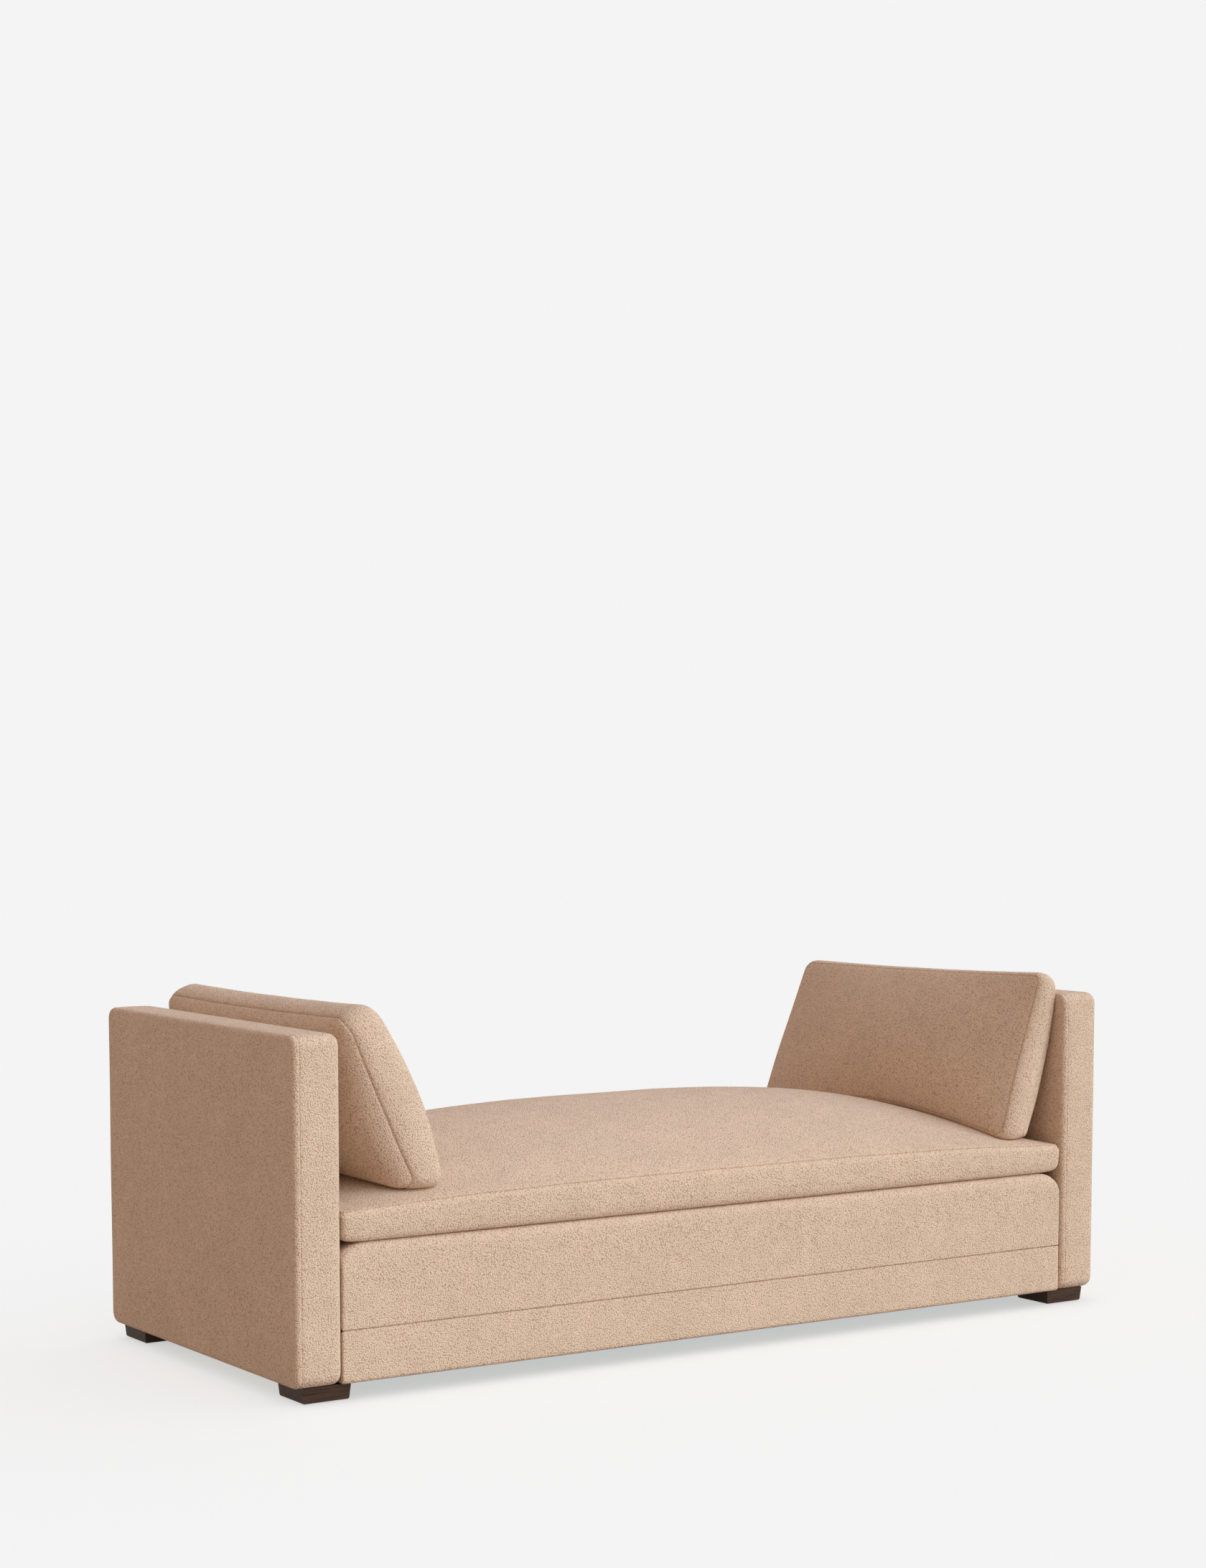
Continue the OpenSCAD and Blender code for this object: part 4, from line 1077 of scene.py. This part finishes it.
# %% [markdown]
# Each slab fills the room of its node and stays inside the cloth: the arms' foam is a sleeve 3 mm
# under the cover, the rails have a pad along their outer face, and the deck has foam on felt.

# %% Pads of the frame
UNDER = 3.2 * MM
for side, left_x, right_x in arm_sides:
    low = (left_x + UNDER, -arm_half_depth + UNDER, arm_foot + UNDER)
    high = (right_x - UNDER, arm_half_depth - UNDER, arm_top - UNDER)
    sleeve = soft_slab(f"{side}_arm_foam_sleeve", low, high, 0, 19 * MM, 24 * MM, foam)
    settle(sleeve, f"{side}_arm_foam", "frame")

for place in ("front", "rear"):
    low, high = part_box(f"{place}_rail_foam")
    pad = soft_slab(f"{place}_rail_foam_pad", (low.x + END_ROUND, low.y + 1 * MM, low.z),
                    (high.x - END_ROUND, high.y - 1 * MM, high.z - FALL_DEPTH / 2), 1, 4 * MM, 12 * MM, foam)
    settle(pad, f"{place}_rail_foam", "frame")

low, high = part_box("deck_foam")
deck_pad = soft_slab("deck_foam_pad", (low.x + 3 * MM, low.y + 3 * MM, low.z),
                     (high.x - 3 * MM, high.y - 3 * MM, high.z - 3 * MM), 2, 13 * MM, 22 * MM, foam,
                     lambda p: fall_away(p, low.z + 12 * MM), 40 * MM)
settle(deck_pad, "deck_foam", "frame")
low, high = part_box("deck_felt")
felt_pad = soft_slab("deck_felt_pad", (low.x, low.y, low.z + 0.2 * MM), (high.x, high.y, high.z - 0.2 * MM),
                     2, 1.5 * MM, 8 * MM, felt)
settle(felt_pad, "deck_felt", "frame")

# %% [markdown]
# The cushion's core is a foam block with soft edges. The wadding round it is the layer that gives
# the crown, so it has the form of the cover, drawn in by 4 mm. The bolsters' fills are drawn in
# the same way, and take less of the bulge, because the stuffed cover pulls in there.

# %% Fillings of the loose cushions
SKIN = 4 * MM
FILL_FULLNESS = 0.82
wrap_rings = [
    (20 * MM, ON_TOP, -SKIN), (7 * MM, ON_TOP, -SKIN), (1.5 * MM, 1.0, -SKIN - 3 * MM),
    (-1.5 * MM, 0.66, 0.0), (-2.0 * MM, 0.45, 0.0), (-0.5 * MM, 0.24, 0.0),
    (3 * MM, 0.0, 9 * MM), (9 * MM, 0.0, 4 * MM), (20 * MM, 0.0, 3 * MM),
]
wrap_form = BoxedForm(seat_half_x - SKIN, seat_half_y - SKIN, SEAT_CORNER - SKIN, 45 * MM, (0.0, 10 * MM), 4,
                      wrap_rings)
wrap_points = place_seat(wrap_form)
wrap_points[: wrap_form.panel, 2] -= SKIN
wrap = make_mesh("seat_wadding", wrap_points, wrap_form.faces(), wadding)
subdivide(wrap)
settle(wrap, "seat_cushion_wrap", "seat")

low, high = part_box("seat_cushion_core")
core = soft_slab("seat_foam_core", low, high, 2, 6 * MM, 12 * MM, foam)
settle(core, "seat_cushion_core", "seat")

for bolster in bolsters:
    t = bolster.half_t - SKIN
    half = [(16 * MM, t), (6 * MM, t - 1 * MM), (1 * MM, t - 6 * MM), (-1 * MM, 0.4 * t)]
    rings = half + [(inset, -place) for inset, place in half[::-1]]
    form = BoxedForm(bolster.half_u - SKIN, BOLSTER_HALF_V - SKIN, bolster.corner - SKIN, 36 * MM,
                     (0.0, 10 * MM), 4, rings)
    points = place_bolster(bolster, form, FILL_FULLNESS)
    points[:, 0] = np.clip(points[:, 0], -arm_inner_x + SKIN, arm_inner_x - SKIN)
    fill = make_mesh(f"{bolster.side}_bolster_wadding", points, form.faces(), wadding)
    subdivide(fill)
    settle(fill, f"{bolster.side}_bolster_fill", f"{bolster.side}_bolster")

# %% [markdown]
# A dust cloth closes the base from below. It is thin black non-woven cloth: pressed fibres with a
# fine pattern of welded dots. It is a sheet, so its real flat size is part of what it is.

# %% Dust cloth: its finish
def dust_finish():
    finish = Finish("black_dust_cloth", roughness=0.85, specular=0.3)
    fibre = finish.noise(420.0, 4.0, 0.7, distort=1.2)
    spots = finish.cells(600.0)
    blacks = ((0.05, srgb(24, 24, 26)), (0.5, srgb(52, 52, 55)))
    finish.colour(finish.ramp(finish.times(fibre, spots), blacks))
    finish.bump(spots, 0.2 * MM, 0.5)
    return finish.material


dust_black = dust_finish()
print("dust cloth is", dust_black.name)

# %% [markdown]
# The sheet is cut out round the legs, stapled to the rails and slack enough to hang a few millimetres
# between them. It could be draped by simulation, but a cloth held flat on four sides only sags, and a
# formula draws that at once. Cells of the grid that lie in the notches are left out.

# %% Dust cloth: the sheet
dust_low, dust_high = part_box("dust_cover")
leg_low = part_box("rear_right_leg")[0]
notch_x = leg_low.x - 1 * MM
notch_y = leg_low.y - 1 * MM
NOTCH_BORDER = 45 * MM
DUST_COLUMNS = 60
DUST_ROWS = 24
DUST_SAG = 4 * MM
xs = np.concatenate([[-dust_high.x], np.linspace(-notch_x, notch_x, DUST_COLUMNS), [dust_high.x]])
ys = np.concatenate([[-dust_high.y, -notch_y - NOTCH_BORDER], np.linspace(-notch_y, notch_y, DUST_ROWS),
                     [notch_y + NOTCH_BORDER, dust_high.y]])
x, y = np.meshgrid(xs, ys, indexing="ij")
slack = np.clip(1 - (x / dust_high.x) ** 2, 0, 1) * np.clip(1 - (y / dust_high.y) ** 2, 0, 1)
z = dust_high.z - 0.1 * MM - DUST_SAG * slack * (0.75 + 0.25 * waves(x, y, 0.3))
index = np.arange(x.size).reshape(x.shape)
keep = ~((np.abs(x[:-1, :-1] + x[1:, 1:]) / 2 > notch_x) & (np.abs(y[:-1, :-1] + y[1:, 1:]) / 2 > notch_y))
quads = np.stack([index[:-1, :-1], index[1:, :-1], index[1:, 1:], index[:-1, 1:]], axis=-1)[keep]
used, inverse = np.unique(quads, return_inverse=True)
points = np.stack([x, y, z], axis=-1).reshape(-1, 3)[used]
dust = make_mesh("dust_cloth", points, inverse.reshape(-1, 4).tolist(), dust_black)
thicken(dust, dust_high.z - dust_low.z)
subdivide(dust)
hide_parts("dust_cover")
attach(dust, "frame")

# %% [markdown]
# What is left are the frame's own rigid pieces. Their shapes are right as they come, so they only get
# finishes. Wood is the first: growth lines drawn out along the board, pores, and a slow warp of the
# two, because a real board is never straight in its grain. Plywood shows its plies instead.

# %% Timber and plywood
def wood_finish(name, pale, dark, line, along, roughness, depth, figure=0.35, specular=0.4):
    """Wood whose growth lines run along the axis number `along`, a line about every `line` metres."""
    finish = Finish(name, roughness=roughness, specular=specular)
    scale = [1.0, 1.0, 1.0]
    scale[along] = 0.05
    drawn = finish.stretched(tuple(scale))
    warp = finish.noise(0.22 / line, 2.0, 0.5, drawn)
    rings = finish.noise(1 / line, 2.0, 0.55, drawn, figure)
    pore = finish.noise(5 / line, 3.0, 0.6, drawn)
    tone = finish.sum(finish.sum(rings, finish.times(warp, 0.5)), finish.times(pore, 0.35))
    middle = tuple((a + b) / 2 for a, b in zip(pale, dark))
    finish.colour(finish.ramp(finish.span(tone, 0.55, 1.25), ((0.0, dark), (0.5, middle), (1.0, pale))))
    finish.gloss(finish.span(pore, 0.3, 0.7, roughness + 0.08, roughness - 0.06))
    finish.bump(finish.times(pore, rings), depth, 0.5)
    return finish.material


def ply_finish():
    finish = Finish("plywood", roughness=0.6, specular=0.35)
    ply = finish.wave(260.0, "X", distort=0.6, detail_scale=1.5)
    face = finish.noise(55.0, 4.0, 0.6, finish.stretched((1.0, 1.0, 0.12)), 0.6)
    tone = finish.sum(finish.times(ply, 0.3), face)
    finish.colour(finish.ramp(finish.span(tone, 0.3, 1.0),
                              ((0.0, srgb(163, 126, 84)), (1.0, srgb(214, 182, 136)))))
    finish.bump(face, 0.2 * MM, 0.4)
    return finish.material


PINE = (srgb(226, 196, 150), srgb(186, 143, 92))
pine = [wood_finish(f"pine_along_{axis}", *PINE, 9 * MM, k, 0.55, 0.25 * MM) for k, axis in enumerate("xyz")]
stained = wood_finish("dark_stained_wood", srgb(84, 62, 47), srgb(42, 30, 23), 3.2 * MM, 0, 0.5, 0.25 * MM,
                      figure=0.25, specular=0.15)
plywood = ply_finish()
print("woods", [wood.name for wood in (*pine, stained, plywood)])

# %% [markdown]
# The seat hangs on straps of jute, woven from yarns about 2 mm wide. Two waves across each other make
# the weave, and fine noise its fuzz. A strap's warp runs along it, so each direction has its own.

# %% Straps
def strap_finish(name, along, colour, gap):
    """Woven strap: yarns that cross, with darker gaps between them."""
    finish = Finish(name, roughness=0.85, specular=0.25, sheen=0.1)
    yarn = 2.2 * MM
    warp_yarns = finish.wave(0.16 / yarn, "XY"[1 - along], distort=0.3)
    weft_yarns = finish.wave(0.16 / yarn, "XY"[along], distort=0.3)
    weave = finish.times(warp_yarns, weft_yarns)
    fuzz = finish.noise(900.0, 3.0)
    tone = finish.sum(weave, finish.times(fuzz, 0.4))
    finish.colour(finish.ramp(finish.span(tone, 0.1, 1.1),
                              ((0.0, gap), (0.45, colour), (1.0, shaded(colour, 1.2)))))
    finish.bump(weave, 0.5 * MM, 0.7)
    return finish.material


JUTE = (srgb(168, 152, 122), srgb(96, 84, 64))
straps = [strap_finish(f"jute_strap_{axis}", k, *JUTE) for k, axis in enumerate("xy")]
print("straps", [strap.name for strap in straps])

# %% [markdown]
# The bolts and screws are zinc plated steel, drawn and slightly stained, and the legs stand on black
# nylon glides, scuffed in places. A perfect mirror or a flat black would look like a drawing.

# %% Steel and nylon
def metal_finish(name, colour, roughness):
    finish = Finish(name, roughness=roughness, specular=0.5, metallic=1.0)
    draw = finish.noise(700.0, 3.0, 0.6)
    stain = finish.noise(60.0, 3.0, 0.5)
    tone = finish.times(draw, stain)
    finish.colour(finish.ramp(tone, ((0.05, shaded(colour, 0.75)), (0.5, colour))))
    finish.gloss(finish.span(stain, 0.3, 0.7, roughness - 0.06, roughness + 0.1))
    finish.bump(draw, 0.05 * MM, 0.3)
    return finish.material


def nylon_finish():
    finish = Finish("black_nylon", roughness=0.5, specular=0.5)
    grain = finish.noise(1200.0, 3.0, 0.6)
    scuff = finish.noise(90.0, 4.0, 0.6)
    finish.colour(finish.ramp(scuff, ((0.3, srgb(30, 30, 31)), (0.8, srgb(62, 61, 60)))))
    finish.gloss(finish.span(scuff, 0.3, 0.7, 0.42, 0.62))
    finish.bump(grain, 0.08 * MM, 0.4)
    return finish.material


steel = metal_finish("zinc_plated_steel", srgb(196, 198, 200), 0.34)
antique = metal_finish("zip_slider_metal", srgb(168, 150, 128), 0.3)
nylon = nylon_finish()
print("hard finishes", steel.name, antique.name, nylon.name)

# %% [markdown]
# A zip is a woven tape with a row of teeth down its middle, one about every 1.5 mm. Modelled one by
# one the teeth would be a thousand pieces, so a wave along the tape draws them, and they show only
# within 3 mm of its middle line.

# %% Zip
ZIP_CHAIN = 3.2 * MM


def zip_finish():
    finish = Finish("zip_tape", roughness=0.7, specular=0.35, sheen=0.1)
    parts = finish.add("ShaderNodeSeparateXYZ", Vector=finish.place)
    off = finish.calc("SUBTRACT", parts.outputs["Z"], (zip_low.z + zip_high.z) / 2)
    away = finish.calc("ABSOLUTE", off, 0.0)
    chain = finish.span(away, ZIP_CHAIN, ZIP_CHAIN - 0.4 * MM)
    teeth = finish.wave(105.0, "X")
    herring = finish.wave(420.0, "DIAGONAL", distort=0.4)
    tape = finish.ramp(herring, ((0.0, srgb(150, 120, 96)), (1.0, srgb(196, 166, 140))))
    coil = finish.ramp(teeth, ((0.0, srgb(92, 70, 54)), (1.0, srgb(205, 180, 156))))
    finish.colour(finish.tint(tape, chain, coil, "MIX"))
    finish.bump(finish.sum(finish.times(teeth, chain), finish.times(herring, 0.2)), 0.6 * MM, 0.8)
    return finish.material


zip_tape = zip_finish()
print("zip finish", zip_tape.name)

# %% [markdown]
# The frame's pieces keep their meshes and only change their material. Each board takes the pine that
# runs along it, so its growth lines follow its length as they do in a sawn board.

# %% Dress the frame's own pieces
def finish_node(name, material):
    piece = nodes[name]
    if not piece.material_slots:
        piece.data.materials.append(material)
    for one in piece.material_slots:
        one.material = material
    piece.data.shade_flat()


for side in ("left", "right"):
    for post in ("front", "rear"):
        finish_node(f"{side}_arm_{post}_post", pine[2])
    for rail in ("top", "mid", "bottom"):
        finish_node(f"{side}_arm_{rail}_rail", pine[1])
    for board in ("inner", "outer"):
        finish_node(f"{side}_arm_{board}_panel", plywood)
    finish_node(f"{side}_end_rail", pine[1])
    finish_node(f"{side}_stretcher", pine[1])
for name in ("front_rail", "rear_rail"):
    finish_node(name, pine[0])
finish_node("corner_blocks", pine[2])
finish_node("cross_webbing", straps[1])
finish_node("long_webbing", straps[0])
for name in ("arm_bolts", "arm_bolt_washers", "arm_tee_nuts", "leg_screws"):
    finish_node(name, steel)
finish_node("leg_glides", nylon)
finish_node("seat_zip", zip_tape)
finish_node("seat_zip_slider", antique)
print("timber, plywood, straps, steel, nylon and zip are finished")

# %% [markdown]
# The legs come with sharp upright edges, and sanded wood has none. A weld closes the corners that the
# imported mesh leaves split, and a bevel of just over a millimetre then catches the light.

# %% Legs
LEG_EASE = 1.3 * MM
for end in ("front", "rear"):
    for side in ("left", "right"):
        leg = nodes[f"{end}_{side}_leg"]
        finish_node(leg.name, stained)
        weld = leg.modifiers.new("weld", "WELD")
        weld.merge_threshold = 0.02 * MM
        ease = leg.modifiers.new("eased_edges", "BEVEL")
        ease.width = LEG_EASE
        ease.segments = 2
        ease.limit_method = "ANGLE"
        ease.angle_limit = math.radians(40)
print("legs eased by", LEG_EASE / MM, "mm")

# %% [markdown]
# The camera stands where the photograph was taken from. Its place, its turn and the length of its
# lens were solved from the edges of the chaise and its own size. The lens is shifted up, because the
# photograph has more room above the chaise than below it.

# %% Camera
CAMERA_PLACE = (-3.447, -5.117, 1.172)
CAMERA_TURN = 0.587
CAMERA_DIP = 0.088
FOCAL_PIXELS = 3937.9
PICTURE = (1680, 2185)
AXIS_ROW = 1442.7
SENSOR = 36.0
eye = bpy.data.cameras.new("eye")
eye.sensor_width = SENSOR
eye.sensor_fit = "AUTO"
eye.lens = FOCAL_PIXELS / max(PICTURE) * SENSOR
eye.shift_y = (AXIS_ROW - PICTURE[1] / 2) / max(PICTURE)
eye.clip_end = 200.0
camera = bpy.data.objects.new("camera", eye)
camera.location = CAMERA_PLACE
camera.rotation_euler = (math.pi / 2 - CAMERA_DIP, 0.0, -CAMERA_TURN)
bpy.context.scene.collection.objects.link(camera)
bpy.context.scene.camera = camera
print("lens", round(eye.lens, 2), "mm, shift", round(eye.shift_y, 4))

# %% [markdown]
# The light is one large soft source from the front and right, plus the light of the room. The room's
# light is warmer from below than from above, and the source is a little cool. Together they come to
# white on the front, and the faces to the left get a warm half of it, as in the photograph. The
# source leaves the floor out, which keeps the soft shadow of the chaise in the room's own light.

# %% Light
ROOM_ABOVE = Vector((0.40, 0.352, 0.405))
ROOM_BELOW = Vector((0.715, 0.54, 0.37))
LAMP_COLOUR = (0.785, 0.91, 1.0)
LAMP_LIGHT = 2.68
LAMP_FROM = Vector((0.46, -0.62, 0.42))
BACKDROP = srgb(244, 244, 244)

sun = bpy.data.lights.new("softbox", "SUN")
sun.energy = LAMP_LIGHT
sun.angle = math.radians(55)
sun.color = LAMP_COLOUR
lamp = bpy.data.objects.new("softbox", sun)
lamp.rotation_euler = LAMP_FROM.to_track_quat("Z", "Y").to_euler()
bpy.context.scene.collection.objects.link(lamp)


def seen_directly(tree):
    """1 for the rays that show the room itself: the camera's, and those that metal or glass send on."""
    path = add_node(tree, "ShaderNodeLightPath")
    seen = path.outputs["Is Camera Ray"]
    for ray in ("Is Glossy Ray", "Is Transmission Ray"):
        other = path.outputs[ray]
        seen = add_node(tree, "ShaderNodeMath", {"operation": "MAXIMUM"}, i0=seen, i1=other).outputs[0]
    return seen


def mixed(tree, factor, first, second):
    """One of two plain colours, or a mix of them, as `factor` says."""
    return add_node(tree, "ShaderNodeMix", {"data_type": "RGBA"}, i0=factor, i6=(*first, 1.0),
                    i7=(*second, 1.0)).outputs[2]


print("lamp", LAMP_LIGHT, "strong,", round(math.degrees(sun.angle)), "degrees wide")

# %% [markdown]
# The room's light is a mix of two colours by the height of the ray. The camera doesn't see it: it and
# the rays that metal sends on see a plain pale backdrop, which therefore puts no light on the chaise.

# %% Room
room = bpy.data.worlds.new("room")
bpy.context.scene.world = room
room.use_nodes = True
tree = room.node_tree
tree.nodes.clear()
aim = add_node(tree, "ShaderNodeTexCoord").outputs["Generated"]
upward = add_node(tree, "ShaderNodeSeparateXYZ", Vector=aim).outputs["Z"]
height = add_node(tree, "ShaderNodeMapRange", Value=upward).outputs["Result"]
light = mixed(tree, height, ROOM_BELOW, ROOM_ABOVE)
even = add_node(tree, "ShaderNodeBackground", Color=light).outputs[0]
backdrop = add_node(tree, "ShaderNodeBackground", Color=(*BACKDROP, 1.0), Strength=1.0).outputs[0]
pick = add_node(tree, "ShaderNodeMixShader", i0=seen_directly(tree), i1=even, i2=backdrop).outputs[0]
add_node(tree, "ShaderNodeOutputWorld", Surface=pick)
bpy.context.scene.view_settings.view_transform = "Standard"
print("room light from above", [round(c, 3) for c in ROOM_ABOVE], "below", [round(c, 3) for c in ROOM_BELOW])

# %% [markdown]
# The floor has to look like the backdrop and still hold a shadow. To the camera it is a matt floor
# with a little light of its own, just what it lacks to reach the backdrop's shade under the open
# room. To everything else it is plain pale grey, so that it throws ordinary light up on the chaise.

# %% Floor
FLOOR_HALF = 60.0
FLOOR_GREY = 0.80
FLOOR_SEEN = Vector((0.735, 0.868, 0.928))
on_floor = ROOM_ABOVE * 2 / 3 + ROOM_BELOW / 3
floor_lift = [BACKDROP[i] - FLOOR_SEEN[i] * on_floor[i] for i in range(3)]
floor_mesh = bpy.data.meshes.new("floor")
floor_mesh.from_pydata([(-FLOOR_HALF, -FLOOR_HALF, 0), (FLOOR_HALF, -FLOOR_HALF, 0),
                        (FLOOR_HALF, FLOOR_HALF, 0), (-FLOOR_HALF, FLOOR_HALF, 0)], [], [(0, 1, 2, 3)])
floor = bpy.data.objects.new("floor", floor_mesh)
bpy.context.scene.collection.objects.link(floor)
paper = bpy.data.materials.new("pale_floor")
paper.use_nodes = True
tree = paper.node_tree
tree.nodes.clear()
straight = seen_directly(tree)
shade = mixed(tree, straight, (FLOOR_GREY,) * 3, FLOOR_SEEN)
matt = add_node(tree, "ShaderNodeBsdfDiffuse", Color=shade).outputs[0]
glow = add_node(tree, "ShaderNodeEmission", Color=(*floor_lift, 1.0), Strength=straight).outputs[0]
both = add_node(tree, "ShaderNodeAddShader", i0=matt, i1=glow).outputs[0]
add_node(tree, "ShaderNodeOutputMaterial", Surface=both)
floor_mesh.materials.append(paper)
lit = bpy.data.collections.new("lit_by_softbox")
for piece in bpy.context.scene.objects:
    if piece.type == "MESH" and piece is not floor:
        lit.objects.link(piece)
lamp.light_linking.receiver_collection = lit
print("floor", 2 * FLOOR_HALF, "m")
